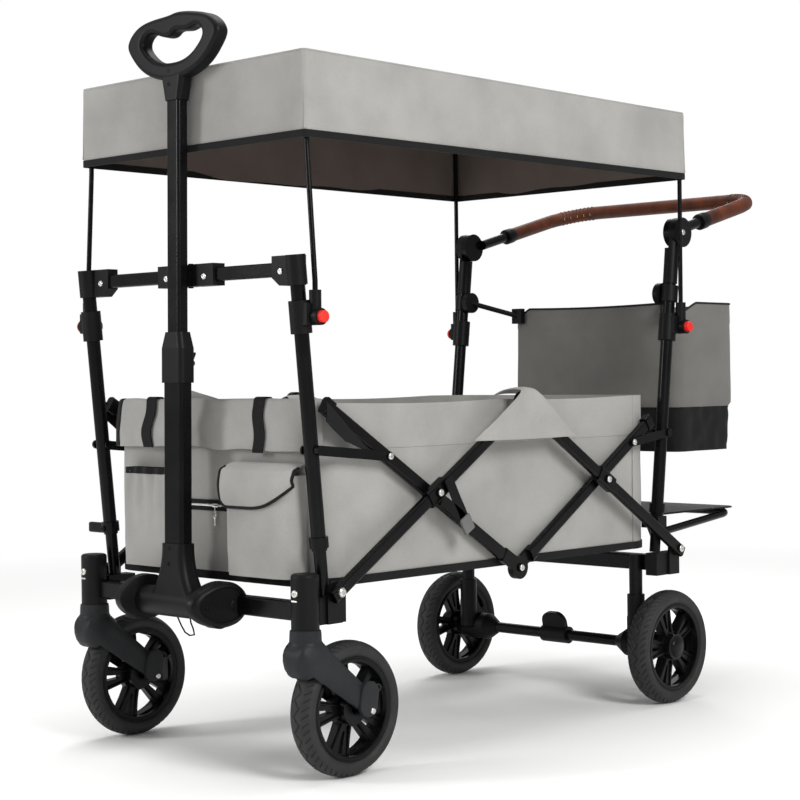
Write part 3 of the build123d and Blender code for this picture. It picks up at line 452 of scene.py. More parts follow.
def buildCanopy():
    canopy = {"cloth": 1.6 * mm, "hem": 11 * mm, "edge": 7 * mm, "edgeSteps": 3, "sag": 9 * mm,
              "bow": 3.5 * mm, "counts": (60, 36, 4), "walls": 12, "roof": 22, "front": 266 / 278,
              "lift": 8 * mm, "piping": 1.3 * mm, "seamIn": 1.6 * mm, "seamSteps": 14, "topSeam": 2.6 * mm,
              "binding": ((0, -1.0), (1, -1.0), (1, 2.4), (0, 2.4), (0, -1.0))}
    low, high, centre, half = extent("canopy_cover")

    def shareOf(x):
        return (x - low.x) / (high.x - low.x)

    def taper(x):  # the cover is narrower over the front bow
        return canopy["front"] + (1 - canopy["front"]) * shareOf(x)

    def ring(z, inset, share=1.0):
        points = []
        for point in loopPoints(half.x - inset, half.y - inset, canopy["edge"], canopy["counts"]):
            x = centre.x + point.x * share
            points.append(Vector((x, point.y * share * taper(x), z)))
        return points

    def lifted(point):  # the front bow pushes the cover up
        rise = (point.z - low.z) / (high.z - low.z)
        return point + Vector((0, 0, canopy["lift"] * (1 - shareOf(point.x)) * rise))

    rings = []
    for step in range(canopy["walls"] + 1):
        rise = step / canopy["walls"]
        level = []
        for point in ring(low.z + rise * (high.z - canopy["edge"] - low.z), 0):
            along = shareOf(point.x)
            across = (point.y - low.y) / (high.y - low.y)
            reach = 4 * max(along * (1 - along), across * (1 - across))
            pull = canopy["bow"] * reach * math.sin(math.pi * min(rise * 0.9 + 0.05, 1))
            pull += 0.8 * mm * ripple(point, 120 * mm, 3)
            outward = Vector((point.x - centre.x, point.y * 1.6, 0)).normalized()
            level.append(point - outward * max(pull, 0))
        rings.append(level)
    for step in range(1, canopy["edgeSteps"] + 1):
        angle = math.pi / 2 * step / canopy["edgeSteps"]
        inset = canopy["edge"] * (1 - math.cos(angle))
        rings.append(ring(high.z - canopy["edge"] * (1 - math.sin(angle)), inset))
    for step in range(1, canopy["roof"] + 1):
        level = []
        for point in ring(high.z, canopy["edge"], 1 - step / canopy["roof"]):
            slack = (1 - ((point.x - centre.x) / half.x) ** 2) * (1 - (point.y / half.y) ** 2)
            drop = slack * (canopy["sag"] + 1.2 * mm * ripple(point, 160 * mm, 8))
            level.append(point - Vector((0, 0, max(drop, 0))))
        rings.append(level)
    cover = ringPiece("canopyCloth", [[lifted(point) for point in level] for level in rings])
    thicken(cover, canopy["cloth"], -1, "lining", "grey")
    dress(cover, "grey", "canopy")
    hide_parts("canopy_cover")

    rings = [ring(low.z - 1 * mm + z * canopy["hem"], inset * mm) for z, inset in canopy["binding"]]
    binding = ringPiece("canopyBinding", rings)
    dress(binding, "black", "canopy", 30)

    seams = []
    for signX in (-1, 1):
        for signY in (-1, 1):
            x = centre.x + signX * (half.x - canopy["seamIn"])
            corner = Vector((x, signY * (half.y - canopy["seamIn"]) * taper(x), 0))
            foot = corner + Vector((0, 0, low.z + canopy["hem"]))
            head = corner + Vector((-signX * 2 * mm, -signY * 2 * mm, high.z - 2 * mm))
            steps = range(canopy["seamSteps"] + 1)
            points = [lifted(foot.lerp(head, step / canopy["seamSteps"])) for step in steps]
            seams.append(tubeAlong("canopySeam", points, canopy["piping"], 8))
    top = [lifted(point) - Vector((0, 0, canopy["topSeam"])) for point in ring(high.z, canopy["seamIn"])]
    seams.append(tubeAlong("canopySeam", top, canopy["piping"], 8, closed=True))
    piping = joined(seams, "canopySeams")
    dress(piping, "grey", "canopy")
    for piece in (cover, binding, piping):
        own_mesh(piece)
    print("canopy done")


buildCanopy()

# basket: end walls, sides, flaps, rolled front rim, straps, hems

basket = {"cloth": 1.8 * mm, "corner": 60 * mm, "band": 70 * mm, "bandLift": 1.1 * mm, "rows": 22,
          "bandStep": 0.4 * mm, "settle": 1.5 * mm, "hem": 13 * mm, "hemTape": 2.6 * mm, "hemOut": 0.6 * mm,
          "endRipple": (1.4 * mm, 90 * mm), "sideRipple": (2.0 * mm, 110 * mm), "belly": 2.5 * mm,
          "sag": 3 * mm, "lap": 1.5 * mm, "sideColumns": 70, "hemSteps": 40}
frontLow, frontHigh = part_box("basket_front_panel")
rearLow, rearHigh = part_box("basket_rear_panel")
wallHalf = frontHigh.y


def endPath(openX, endX, corner, arcSteps=10, flatSteps=40):  # left side, round the end, right side
    sign = 1 if endX > openX else -1
    turns = [math.pi / 2 * step / arcSteps for step in range(arcSteps + 1)]
    path = [(Vector((openX, -wallHalf)), Vector((0, -1)))]
    for turn in turns:
        outward = Vector((sign * math.sin(turn), -math.cos(turn)))
        path.append((Vector((endX - sign * corner, corner - wallHalf)) + corner * outward, outward))
    for step in range(1, flatSteps):
        path.append((Vector((endX, (wallHalf - corner) * (2 * step / flatSteps - 1))), Vector((sign, 0))))
    for turn in turns:
        outward = Vector((sign * math.cos(turn), math.sin(turn)))
        path.append((Vector((endX - sign * corner, wallHalf - corner)) + corner * outward, outward))
    path.append((Vector((openX, wallHalf)), Vector((0, 1))))
    return path


def bandStep(z, top):  # the folded hem band along the rim stands a little proud
    return basket["bandLift"] if z > top - basket["band"] else 0


def wallLevels(low, top):  # even rows, and two close ones at the band's edge
    levels = [low + (top - low) * step / basket["rows"] for step in range(basket["rows"] + 1)]
    edge = top - basket["band"]
    return sorted(levels + [edge, edge + basket["bandStep"]])


def buildEndWall(name, node, openX, endX, body, seed):
    low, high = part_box(node)
    path = endPath(openX, endX, basket["corner"])
    levels = wallLevels(low.z, high.z)
    deep, size = basket["endRipple"]

    def place(u, v):
        point, outward = path[round(u * (len(path) - 1))]
        z = levels[round(v * (len(levels) - 1))]
        swell = deep * ripple((point.x, point.y, z), size, seed)
        spot = point + outward * (swell + bandStep(z, high.z) - basket["settle"])
        return Vector((spot.x, spot.y, z))
    wall = sheetOf(name, len(path) - 1, len(levels) - 1, place)
    if endX > openX:
        startEdit()
        bpy.ops.mesh.flip_normals()
        bpy.ops.object.mode_set(mode="OBJECT")
    thicken(wall, basket["cloth"], -1)
    dress(wall, "grey", body, 50)
    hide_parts(node)
    return wall


def buildSides():
    low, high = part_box("basket_sides")
    rim = frontHigh.z
    fromX, toX = low.x - basket["lap"], high.x + basket["lap"]
    deep, size = basket["sideRipple"]
    levels = wallLevels(low.z, rim)

    def place(u, v):
        x, z = fromX + u * (toX - fromX), levels[round(v * (len(levels) - 1))]
        rise = (z - low.z) / (rim - low.z)
        bay = abs(math.sin(2 * math.pi * u))
        swell = deep * ripple((x, 0, z), size, 5) + bandStep(z, rim) - basket["settle"]
        swell += basket["belly"] * bay * math.sin(math.pi * rise)
        sag = basket["sag"] * bay * rise ** 4
        return Vector((x, -wallHalf - swell, z - sag))
    left = sheetOf("basketSideLeft", basket["sideColumns"], len(levels) - 1, place)
    thicken(left, basket["cloth"], -1)
    right = mirrored(left, "basketSideRight")
    for side in (left, right):
        dress(side, "grey", "front_frame", 50)
        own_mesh(side)
    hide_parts("basket_sides")

    hems = []
    steps = basket["hemSteps"]
    for sign in (-1, 1):
        y, z = sign * (wallHalf + basket["hemOut"]), low.z + basket["hem"] / 2
        points = [Vector((fromX + (toX - fromX) * step / steps, y, z)) for step in range(steps + 1)]
        hems.append(ribbon("basketHem", points, basket["hem"], basket["hemTape"], (0, 0, 1)))
    hem = joined(hems, "basketSideHems")
    dress(hem, "black", "front_frame")
    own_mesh(hem)
    buildEndHem("basketFrontHem", frontHigh.x, frontLow.x, "front_frame", low.z)
    buildEndHem("basketRearHem", rearLow.x, rearHigh.x, "rear_frame", low.z)


def buildEndHem(name, openX, endX, body, foot):
    path = endPath(openX, endX, basket["corner"])

    def place(u, v):
        point, outward = path[round(u * (len(path) - 1))]
        spot = point + outward * basket["hemOut"]
        return Vector((spot.x, spot.y, foot + v * basket["hem"]))
    strip = sheetOf(name, len(path) - 1, 2, place)
    modify(strip, "SOLIDIFY", thickness=basket["hemTape"], offset=0)
    dress(strip, "black", body)


def buildFlaps():  # three-cornered flaps over the tops of the scissors
    flap = {"halfLow": 130 * mm, "halfTop": 17 * mm, "low": 491 * mm, "top": 573 * mm, "outside": 288 * mm,
            "inside": wallHalf - 2 * mm, "shift": -8 * mm, "hem": 0.06, "hemLift": 0.9 * mm, "columns": 48,
            "rows": 40, "turn": 0.72, "tuck": 5 * mm, "tuckFrom": 0.8, "spread": 22 * mm, "slip": 12 * mm,
            "cloth": 1.6 * mm, "crownFall": 2.5 * mm, "overRise": 2 * mm, "overFall": 9 * mm, "taper": 0.96,
            "lowSag": 1.2 * mm, "lean": 3 * mm, "wave": 1.6 * mm, "waveSize": 36 * mm,
            "pleats": ((0.45, 0.07, 2.0 * mm), (0.62, 0.05, 1.4 * mm))}

    def place(u, v):
        side = 2 * u - 1
        crown = flap["top"] - flap["crownFall"] * side * side
        if v > flap["turn"]:  # over the bars and down inside
            over = (v - flap["turn"]) / (1 - flap["turn"])
            edge = flap["outside"] - flap["tuck"]
            y = edge + (flap["inside"] - edge) * over
            z = crown + flap["overRise"] * math.sin(math.pi * over) - flap["overFall"] * over ** 3
            return Vector((middle + side * (flap["halfTop"] + flap["spread"] * over), -y, z))
        up = v / flap["turn"]
        half = flap["halfLow"] + (flap["halfTop"] - flap["halfLow"]) * up ** flap["taper"]
        x = middle + flap["shift"] * (1 - up) + side * half
        z = flap["low"] + (crown - flap["low"]) * up
        z -= flap["lowSag"] * (1 - up) * math.cos(math.pi * side * 0.5)
        tucked = max(up - flap["tuckFrom"], 0) / (1 - flap["tuckFrom"])
        y = flap["outside"] - flap["lean"] * (1 - up) - flap["tuck"] * tucked ** 2
        if u < flap["hem"] or u > 1 - flap["hem"]:
            y += flap["hemLift"]
        y += flap["wave"] * ripple((x, 0, z), flap["waveSize"], 2) * (1 - 0.5 * up)
        for at, wide, deep in flap["pleats"]:
            y += deep * math.exp(-((side + at) / wide) ** 2) * min(1, 1.4 * up)
        return Vector((x, -y, z))
    left = sheetOf("sideFlapLeft", flap["columns"], flap["rows"], place)
    thicken(left, flap["cloth"], 0)
    modify(left, "SUBSURF", levels=1, render_levels=1)
    right = mirrored(left, "sideFlapRight")
    for vert in right.data.vertices:  # the far flap has slipped down
        vert.co.z -= flap["slip"] * max(0, vert.co.z - flap["low"]) / (flap["top"] - flap["low"])
    for piece in (left, right):
        dress(piece, "grey", "front_rising", 60)
        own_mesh(piece)


def buildRoll():  # the front rim's loose cloth, rolled outwards and held by two straps
    roll = {"from": 40 * mm, "to": 497 * mm, "inside": 516 * mm, "top": 563 * mm, "low": 487 * mm,
            "gap": 6 * mm, "bend": 6 * mm, "up": 0.22, "over": 0.42, "cloth": 1.4 * mm, "grid": (110, 30),
            "looseSize": 70 * mm, "bulge": 4 * mm, "loose": 5 * mm, "flare": 4 * mm, "deepest": -7 * mm,
            "crease": (1.8 * mm, 28 * mm), "wave": (2 * mm, 55 * mm)}
    shoulder = roll["top"] - roll["bend"]
    crease, creaseSize = roll["crease"]
    wave, waveSize = roll["wave"]
    path = endPath(frontHigh.x, frontLow.x, basket["corner"])
    lengths = [0]
    for i in range(1, len(path)):
        lengths.append(lengths[-1] + (path[i][0] - path[i - 1][0]).length)

    def onPath(run):
        i = max(k for k in range(len(lengths)) if lengths[k] <= run)
        i = min(i, len(path) - 2)
        share = (run - lengths[i]) / max(lengths[i + 1] - lengths[i], 1e-9)
        return path[i][0].lerp(path[i + 1][0], share), path[i][1].lerp(path[i + 1][1], share).normalized()

    def profile(v, run):  # how far out and how high: up inside, over the rim, down outside
        if v < roll["up"]:
            return -roll["gap"], roll["inside"] + (shoulder - roll["inside"]) * v / roll["up"]
        if v < roll["over"]:
            angle = math.pi * (v - roll["up"]) / (roll["over"] - roll["up"])
            return -roll["gap"] * math.cos(angle), shoulder + roll["bend"] * math.sin(angle)
        loose = roll["loose"] * ripple((run, 0, 0), roll["looseSize"], 4)
        down = (v - roll["over"]) / (1 - roll["over"])
        out = roll["gap"] + (roll["bulge"] + loose) * math.sin(math.pi * down * 0.8) + roll["flare"] * down
        return out, shoulder + (roll["low"] + loose - shoulder) * down

    def place(u, v):
        run = roll["from"] + u * (roll["to"] - roll["from"])
        point, outward = onPath(run)
        out, z = profile(v, run)
        out += crease * ripple((run, 0, z), creaseSize, 9)
        spot = point + outward * max(out, roll["deepest"])
        return Vector((spot.x, spot.y, z + wave * ripple((run, 1, 0), waveSize, 6)))
    cloth = sheetOf("rimRoll", *roll["grid"], place)
    thicken(cloth, roll["cloth"], 0)
    dress(cloth, "grey", "front_frame", 60)

    end = {"from": 0.965, "run": 0.037, "start": 0.2, "off": vec(-1.6, 0.8, 0.6), "grid": (8, 24),
           "tape": 1.2 * mm}

    def endPlace(u, v):  # black tape over the roll's far end
        along = end["from"] + end["run"] * u
        return place(along, end["start"] + (1 - end["start"]) * v) + end["off"]
    tape = sheetOf("rollEndTape", *end["grid"], endPlace)
    modify(tape, "SOLIDIFY", thickness=end["tape"], offset=0)
    dress(tape, "black", "front_frame", 50)

    tongue = {"from": 62 * mm, "wide": 92 * mm, "foot": 548 * mm, "head": 577 * mm, "peak": 0.14,
              "back": 11 * mm, "nearFall": 19 * mm, "farFall": 40 * mm, "cloth": 1.6 * mm,
              "wave": 1.5 * mm, "waveSize": 30 * mm}

    def tonguePlace(u, v):  # inner cloth standing up behind the rim
        y = tongue["from"] - tongue["wide"] * u
        past = u - tongue["peak"]
        head = tongue["head"] - tongue["nearFall"] * max(past, 0) - tongue["farFall"] * max(-past, 0)
        x = frontLow.x + tongue["back"] + tongue["wave"] * ripple((0, y, v), tongue["waveSize"], 5)
        return Vector((x, y, tongue["foot"] + (head - tongue["foot"]) * v))
    flag = sheetOf("rimTongue", 24, 6, tonguePlace)
    thicken(flag, tongue["cloth"], 0)
    dress(flag, "grey", "front_frame", 50)

    strap = {"spots": scaled([(-136, 2.5), (121, -3)]), "steps": 26, "from": 0.16, "run": 0.86,
             "tail": 120 * mm, "out": 3.4 * mm, "in": -2.4 * mm, "over": 3.0 * mm, "width": 24 * mm,
             "tape": 1.6 * mm, "shift": 14 * mm, "rim": (0.2, 0.44), "outFrom": 0.3, "waves": 2.2,
             "drift": 0.8}
    rimFrom, rimTo = strap["rim"]
    straps = []
    for centre, sway in strap["spots"]:
        points = []
        for step in range(strap["steps"] + 1):
            v = strap["from"] + strap["run"] * step / strap["steps"]
            down = max(v - roll["over"], 0) / (1 - roll["over"])
            out, z = profile(min(v, 1.0), centre + wallHalf + strap["shift"])
            z += (strap["over"] if rimFrom < v < rimTo else 0) - max(v - 1, 0) * strap["tail"]
            y = centre + sway * math.sin(strap["waves"] * math.pi * down) - sway * strap["drift"] * down
            points.append(Vector((frontLow.x - out - strap["out" if v > strap["outFrom"] else "in"], y, z)))
        straps.append(ribbon("rimStrap", points, strap["width"], strap["tape"], (0, 1, 0)))
    dress(joined(straps, "rimStraps"), "webbing", "front_frame", 50)


# front pockets: a lidded zip pocket and an elastic-topped one, with a zip between them

pocketSet = {"near": (-222 * mm, -84 * mm), "far": (60 * mm, 176 * mm), "low": 297 * mm, "top": 456 * mm,
             "zipDepth": 35 * mm, "elasticDepth": 26 * mm, "zipZ": 398 * mm, "rows": 26, "cloth": 1.5 * mm,
             "foot": (0.0, 0.5, 0.9, 1.0), "footLift": 3 * mm, "counts": (6, 26, 6), "round": 0.62,
             "belly": 0.16, "narrow": 0.07, "wave": 1.8 * mm, "waveSize": 40 * mm, "gather": 1.7 * mm,
             "pitch": 4.2 * mm, "stray": 1.5, "straySize": 30 * mm}


def hugCorner(point):  # follows the basket's rounded corner
    past = abs(point.y) - (wallHalf - basket["corner"])
    if past <= 0:
        return point
    past = min(past, basket["corner"] * 0.98)
    return point + Vector((basket["corner"] - math.sqrt(basket["corner"] ** 2 - past ** 2), 0, 0))


def pouch(name, span, depth, top, gather, seed):
    low, rows = pocketSet["low"], pocketSet["rows"]
    halfX, halfY = depth / 2, (span[1] - span[0]) / 2
    centre = Vector((frontLow.x - halfX, (span[0] + span[1]) / 2, 0))
    outline = loopPoints(halfX, halfY, halfX * pocketSet["round"], pocketSet["counts"])
    levels = [(low + pocketSet["footLift"] * (share < 1), share, 0) for share in pocketSet["foot"]]
    levels += [(low + (top - low) * step / rows, 1.0, step / rows) for step in range(1, rows + 1)]
    rings = []
    for z, share, rise in levels:
        belly = 1 + pocketSet["belly"] * math.sin(math.pi * min(rise * 1.1, 1)) * (1 - 0.5 * gather)
        ring = []
        for point in outline:
            x = centre.x + point.x * share * (belly if point.x < 0 else 1)
            y = centre.y + point.y * share * (1 - pocketSet["narrow"] * gather * rise ** 3)
            spot = Vector((x, y, z))
            front = max(0, -point.x / halfX)
            spot.x -= front * pocketSet["wave"] * ripple(spot, pocketSet["waveSize"], seed)
            stray = pocketSet["stray"] * ripple(spot, pocketSet["straySize"], 3)
            fold = pocketSet["gather"] * math.sin(y / pocketSet["pitch"] + stray)
            spot.x -= front * gather * fold * rise ** 2
            ring.append(hugCorner(spot))
        rings.append(ring)
    piece = ringPiece(name, rings)
    thicken(piece, pocketSet["cloth"], -1)
    return dress(piece, "grey", "front_frame", 60), rings[-1]


def buildPockets():
    near, far = pocketSet["near"], pocketSet["far"]
    zipBag, _ = pouch("zipPocket", near, pocketSet["zipDepth"], pocketSet["top"] - 6 * mm, 0.0, 3)
    _, mouth = pouch("elasticPocket", far, pocketSet["elasticDepth"], pocketSet["top"] - 8 * mm, 1.0, 7)
    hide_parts("front_pockets")
    mouthCentre = sum(mouth, Vector()) / len(mouth)
    rings = []
    for z, inset in scaled([(-4, 1.4), (6, 1.4), (6, -2.2), (-4, -2.2), (-4, 1.4)]):
        rings.append([p + (p - mouthCentre).normalized() * inset + Vector((0, 0, z)) for p in mouth])
    dress(ringPiece("elasticBand", rings), "black", "front_frame", 50)


def buildLid():
    lid = {"back": 466 * mm, "front": 459 * mm, "low": 401 * mm, "rise": 34 * mm, "overhang": 3 * mm,
           "edge": 2.6 * mm, "bend": 7 * mm, "turn": 0.34, "fall": 0.46, "cloth": 1.6 * mm,
           "piping": 1.3 * mm, "dip": 9 * mm, "dipTo": 0.1, "riseFrom": 0.4, "risePower": 2.6, "out": 1.12,
           "gap": 1.5 * mm, "arch": 4 * mm, "belly": 3.2 * mm, "wave": 1.6 * mm, "waveSize": 45 * mm}
    near = pocketSet["near"]
    left, right = near[1] + lid["overhang"], near[0] - lid["overhang"]
    shoulder = lid["front"] - lid["bend"]
    deep = frontLow.x - pocketSet["zipDepth"] * lid["out"]

    def lidPoint(u, v):  # out from the wall, round the bend, down the front
        late = max(0, (u - lid["riseFrom"]) / (1 - lid["riseFrom"]))
        low = lid["low"] + lid["rise"] * late ** lid["risePower"]
        low += lid["dip"] * max(0, (lid["dipTo"] - u) / lid["dipTo"]) ** 2
        if v < lid["turn"]:
            t = v / lid["turn"]
            x = frontLow.x - lid["gap"] + (deep + lid["bend"] - frontLow.x) * t
            z = lid["back"] + (lid["front"] - lid["back"]) * t + lid["arch"] * math.sin(math.pi * t)
        elif v < lid["fall"]:
            angle = math.pi / 2 * (v - lid["turn"]) / (lid["fall"] - lid["turn"])
            x = deep - lid["gap"] + lid["bend"] * (1 - math.sin(angle))
            z = shoulder + lid["bend"] * math.cos(angle)
        else:
            t = (v - lid["fall"]) / (1 - lid["fall"])
            x = deep - lid["gap"] - lid["belly"] * math.sin(math.pi * t)
            z = shoulder + (low - shoulder) * t
        spot = Vector((x, left + (right - left) * u, z))
        spot.x -= lid["wave"] * ripple(spot, lid["waveSize"], 12)
        return hugCorner(spot)
    cover = sheetOf("pocketLid", 40, 34, lidPoint)
    thicken(cover, lid["cloth"], 0)
    dress(cover, "grey", "front_frame", 60)
    edge = [lidPoint(0, 0.3 + 0.7 * k / 20) for k in range(20)]
    edge += [lidPoint(k / 36, 1) for k in range(37)]
    edge += [lidPoint(1, 1 - 0.7 * k / 20) for k in range(1, 21)]
    dress(tubeAlong("lidBinding", edge, lid["edge"], 10), "black", "front_frame")
    x = frontLow.x - pocketSet["zipDepth"] * 0.92
    side = [Vector((x, near[1] - 5 * mm, z * mm)) for z in range(302, 398, 8)]
    dress(tubeAlong("pocketPiping", side, lid["piping"], 8), "grey", "front_frame")


def buildZip():
    zipSet = {"tape": (17 * mm, 1.4 * mm), "lap": 4 * mm, "steps": 20, "teeth": 70,
              "tooth": (1.2 * mm, 2.2 * mm), "half": 0.6 * mm, "link": 0.45, "slider": 3.6 * mm,
              "sliderY": -30 * mm, "pull": 2.2 * mm}
    x, z = frontLow.x - 2.2 * mm, pocketSet["zipZ"]
    start, end = pocketSet["near"][1], pocketSet["far"][0]
    points = []
    for k in range(zipSet["steps"] + 1):
        y = start - zipSet["lap"] + (end - start + 2 * zipSet["lap"]) * k / zipSet["steps"]
        points.append(Vector((x, y, z)))
    dress(ribbon("zipTape", points, *zipSet["tape"], (0, 0, 1)), "black", "front_frame")
    deep, tall = zipSet["tooth"]
    section = [Vector((deep * math.cos(a), 0, tall * math.sin(a))) for a in turnsOf(8)]
    teeth = []
    for k in range(zipSet["teeth"]):
        core = Vector((x - deep, start + (end - start) * (k + 0.5) / zipSet["teeth"], z))
        for along in (-zipSet["half"], zipSet["half"]):
            teeth.append([core + point + Vector((0, along, 0)) for point in section])
        teeth.append([core + vec(0.3, 1.0, 0) + zipSet["link"] * point for point in section])
    dress(ringPiece("zipTeeth", teeth, openEnds=False), "nickel", "front_frame")
    slider = Vector((x - 3.2 * mm, zipSet["sliderY"], z))
    body = [slider + vec(0, k, 0) for k in (-6, -4, 0, 4, 6)]
    eye, hook = slider + vec(-2.6, 0, -2), slider + vec(-3.2, 0, -8)
    loop = [hook + vec(0, 2.6 * math.cos(a), 5 * math.sin(a) - 5) for a in turnsOf(20)]
    tab = [hook + vec(0, 0, -(9 + k)) for k in range(0, 16, 2)]
    parts = [tubeAlong("zipSlider", body, zipSet["slider"], 12),
             tubeAlong("zipLink", [eye, eye.lerp(hook, 0.5), hook], 1.2 * mm, 8),
             tubeAlong("zipRing", loop, 0.9 * mm, 8, closed=True),
             tubeAlong("zipPull", tab, zipSet["pull"], 12)]
    dress(joined(parts, "zipPuller"), "nickel", "front_frame")


# rear bag, tray and floor boards

def buildBag():
    bag = {"split": 531 * mm, "hem": 34 * mm, "rows": 34, "corner": 20 * mm, "notch": 26 * mm,
           "notchFrom": 0.85, "counts": (18, 34, 5), "foot": (0.0, 0.35, 0.7, 0.93), "footIn": 5 * mm,
           "cloth": 1.8 * mm, "seam": 1.6 * mm, "brim": 2.0 * mm, "hemLift": 0.9 * mm, "belly": 2.5 * mm,
           "settle": 2 * mm, "sag": 4 * mm, "notchRun": (60 * mm, 40 * mm),
           "firm": (1.6 * mm, 80 * mm, 0), "soft": (4.5 * mm, 26 * mm, 6 * mm)}  # crumple, its size, slump
    low, high, centre, half = extent("rear_bag")
    notchLong, notchWide = bag["notchRun"]
    rings = []
    inner = loopPoints(half.x - bag["footIn"], half.y - bag["footIn"], bag["corner"], bag["counts"])
    for share in bag["foot"]:
        z = low.z + bag["footIn"] * (1 - share)
        rings.append([Vector((centre.x + p.x * share, p.y * share, z)) for p in inner])
    for step in range(bag["rows"] + 1):
        rise = step / bag["rows"]
        z = low.z + (high.z - low.z) * rise
        crumple, size, slump = bag["soft" if z < bag["split"] else "firm"]
        ring = []
        for p in loopPoints(half.x, half.y, bag["corner"], bag["counts"]):
            outward = Vector((p.x / half.x, p.y / half.y, 0)).normalized()
            swell = crumple * ripple((p.x, p.y, z), size, 4) - slump * (1 - 0.6 * rise)
            swell += bag["belly"] * math.sin(math.pi * rise) - bag["settle"]
            if z > high.z - bag["hem"]:
                swell += bag["hemLift"]
            dip = bag["sag"] * (1 - (p.y / half.y) ** 2) * rise ** 3
            if p.x < 0 and rise > bag["notchFrom"]:
                near = max(0, 1 - (half.y - abs(p.y)) / notchWide) * max(0, 1 - (p.x + half.x) / notchLong)
                dip += bag["notch"] * near * (rise - bag["notchFrom"]) / (1 - bag["notchFrom"])
            ring.append(Vector((centre.x + p.x + outward.x * swell, p.y + outward.y * swell, z - dip)))
        rings.append(ring)
    sack = ringPiece("rearBag", rings)
    # the upper bag takes the darker grey, which is partly painted shade from the canopy over it
    sack.data.materials.append(finish["slateAndShade"])
    sack.data.materials.append(finish["black"])
    for face in sack.data.polygons:
        if face.center.z < bag["split"]:
            face.material_index = 1
    modify(sack, "SOLIDIFY", thickness=bag["cloth"], offset=-1)
    dress(sack, "grey", "rear_frame", 60)
    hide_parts("rear_bag")
    splitRow = round(bag["rows"] * (bag["split"] - low.z) / (high.z - low.z))
    seam = tubeAlong("bagSeam", rings[len(bag["foot"]) + splitRow], bag["seam"], 8, closed=True)
    brim = tubeAlong("bagBrim", rings[-1], bag["brim"], 8, closed=True)
    dress(joined([seam, brim], "bagPiping"), "black", "rear_frame")
    print("bag done")


def buildSlab(name, node, body, corner, edge, seed):  # cloth-covered board with a bound edge
    slab = {"counts": (20, 30, 5), "profile": ((0.0, -1), (0.5, -1), (0.97, -1), (1.0, -0.6), (1.0, 0.6),
                                               (0.97, 1), (0.5, 1), (0.0, 1))}
    centre, half = extent(node)[2:]
    outline = loopPoints(half.x - edge * 0.5, half.y - edge * 0.5, corner, slab["counts"])
    rings = []
    for share, level in slab["profile"]:
        ring = []
        for p in outline:
            swell = 1 - 0.25 * (1 + ripple((p.x * share, p.y * share, level), 60 * mm, seed))
            ring.append(Vector((centre.x + p.x * share, p.y * share, centre.z + level * half.z * swell)))
        rings.append(ring)
    board = ringPiece(name, rings)
    dress(board, "charcoal", body, 50)
    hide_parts(node)
    bound = loopPoints(half.x - edge, half.y - edge, corner, slab["counts"])
    line = [Vector((centre.x + p.x, p.y, centre.z)) for p in bound]
    binding = tubeAlong(name + "Binding", line, edge, 10, closed=True)
    for vert in binding.data.vertices:
        vert.co.z = centre.z + (vert.co.z - centre.z) * min(1.0, half.z * 1.02 / edge)
    dress(binding, "webbing", body)


buildEndWall("basketFront", "basket_front_panel", frontHigh.x, frontLow.x, "front_frame", 11)
buildEndWall("basketRear", "basket_rear_panel", rearLow.x, rearHigh.x, "rear_frame", 21)
buildSides()
buildFlaps()
buildRoll()
print("basket done")
buildPockets()
buildLid()
buildZip()
print("pockets done")
buildBag()
buildSlab("trayPanel", "tray_panel", "tray", 18 * mm, 4 * mm, 5)
buildSlab("floorBoardFront", "floor_board_front", "front_floor", 12 * mm, 5 * mm, 6)
buildSlab("floorBoardRear", "floor_board_rear", "rear_floor", 12 * mm, 5 * mm, 7)
print("boards done")

# wheels: treaded tyres, hub caps, spoke ribs

tyre = {"steps": 440, "radius": 101.5, "crownHalf": 19.3, "crownDrop": 7.2, "crownSteps": 38,
        "pitch": 24.5 * mm, "zigzag": 5.0 * mm, "depth": 1.7 * mm, "line": 1.25 * mm,
        "shoulder": (9.5 * mm, 18.6 * mm), "slant": 0.9, "zigFlank": 0.72, "slantFlank": 0.75,
        "crownPower": 2.3,
        "side": ((78.3, 16.4), (79.6, 18.6), (82, 20.4), (85, 21.5), (88, 21.8), (89.2, 22.0), (90.4, 21.6),
                 (92.5, 20.6), (94.3, 19.3)), "bead": ((78.2, 8), (78.2, -8))}
hub = {"lip": ((70.6, 16.2), (71.4, 17.4), (73.4, 18.0), (75.6, 17.6), (76.6, 16.4), (76.6, 15.0),
               (70.6, 15.0), (70.6, 16.2)), "lipCount": 72, "spokes": 5, "rib": 2.1 * mm, "ribSteps": 7,
       "ribOut": (6.6, 2.4), "ribRun": (24, 45), "ribWide": (8.6, 9.4), "ribFlare": 1.2,  # start and change
       "cap": ((0, 26.5), (8, 26.2), (13.5, 25.0), (16.5, 22.8), (17.6, 20.4), (20.2, 20.0), (21.6, 19.2),
               (22.6, 17.5), (22.6, 8.0))}


def tyreSection():  # radius and offset across the tyre, and whether the point is on the tread
    wide, steps = tyre["crownHalf"], tyre["crownSteps"]
    points = [(radius, -half, False) for radius, half in tyre["side"]]
    for step in range(1, steps):
        half = -wide + 2 * wide * step / steps
        drop = tyre["crownDrop"] * abs(half / wide) ** tyre["crownPower"]
        points.append((tyre["radius"] - drop, half, True))
    points += [(radius, half, False) for radius, half in (*reversed(tyre["side"]), *tyre["bead"])]
    return [(radius * mm, half * mm, tread) for radius, half, tread in points]


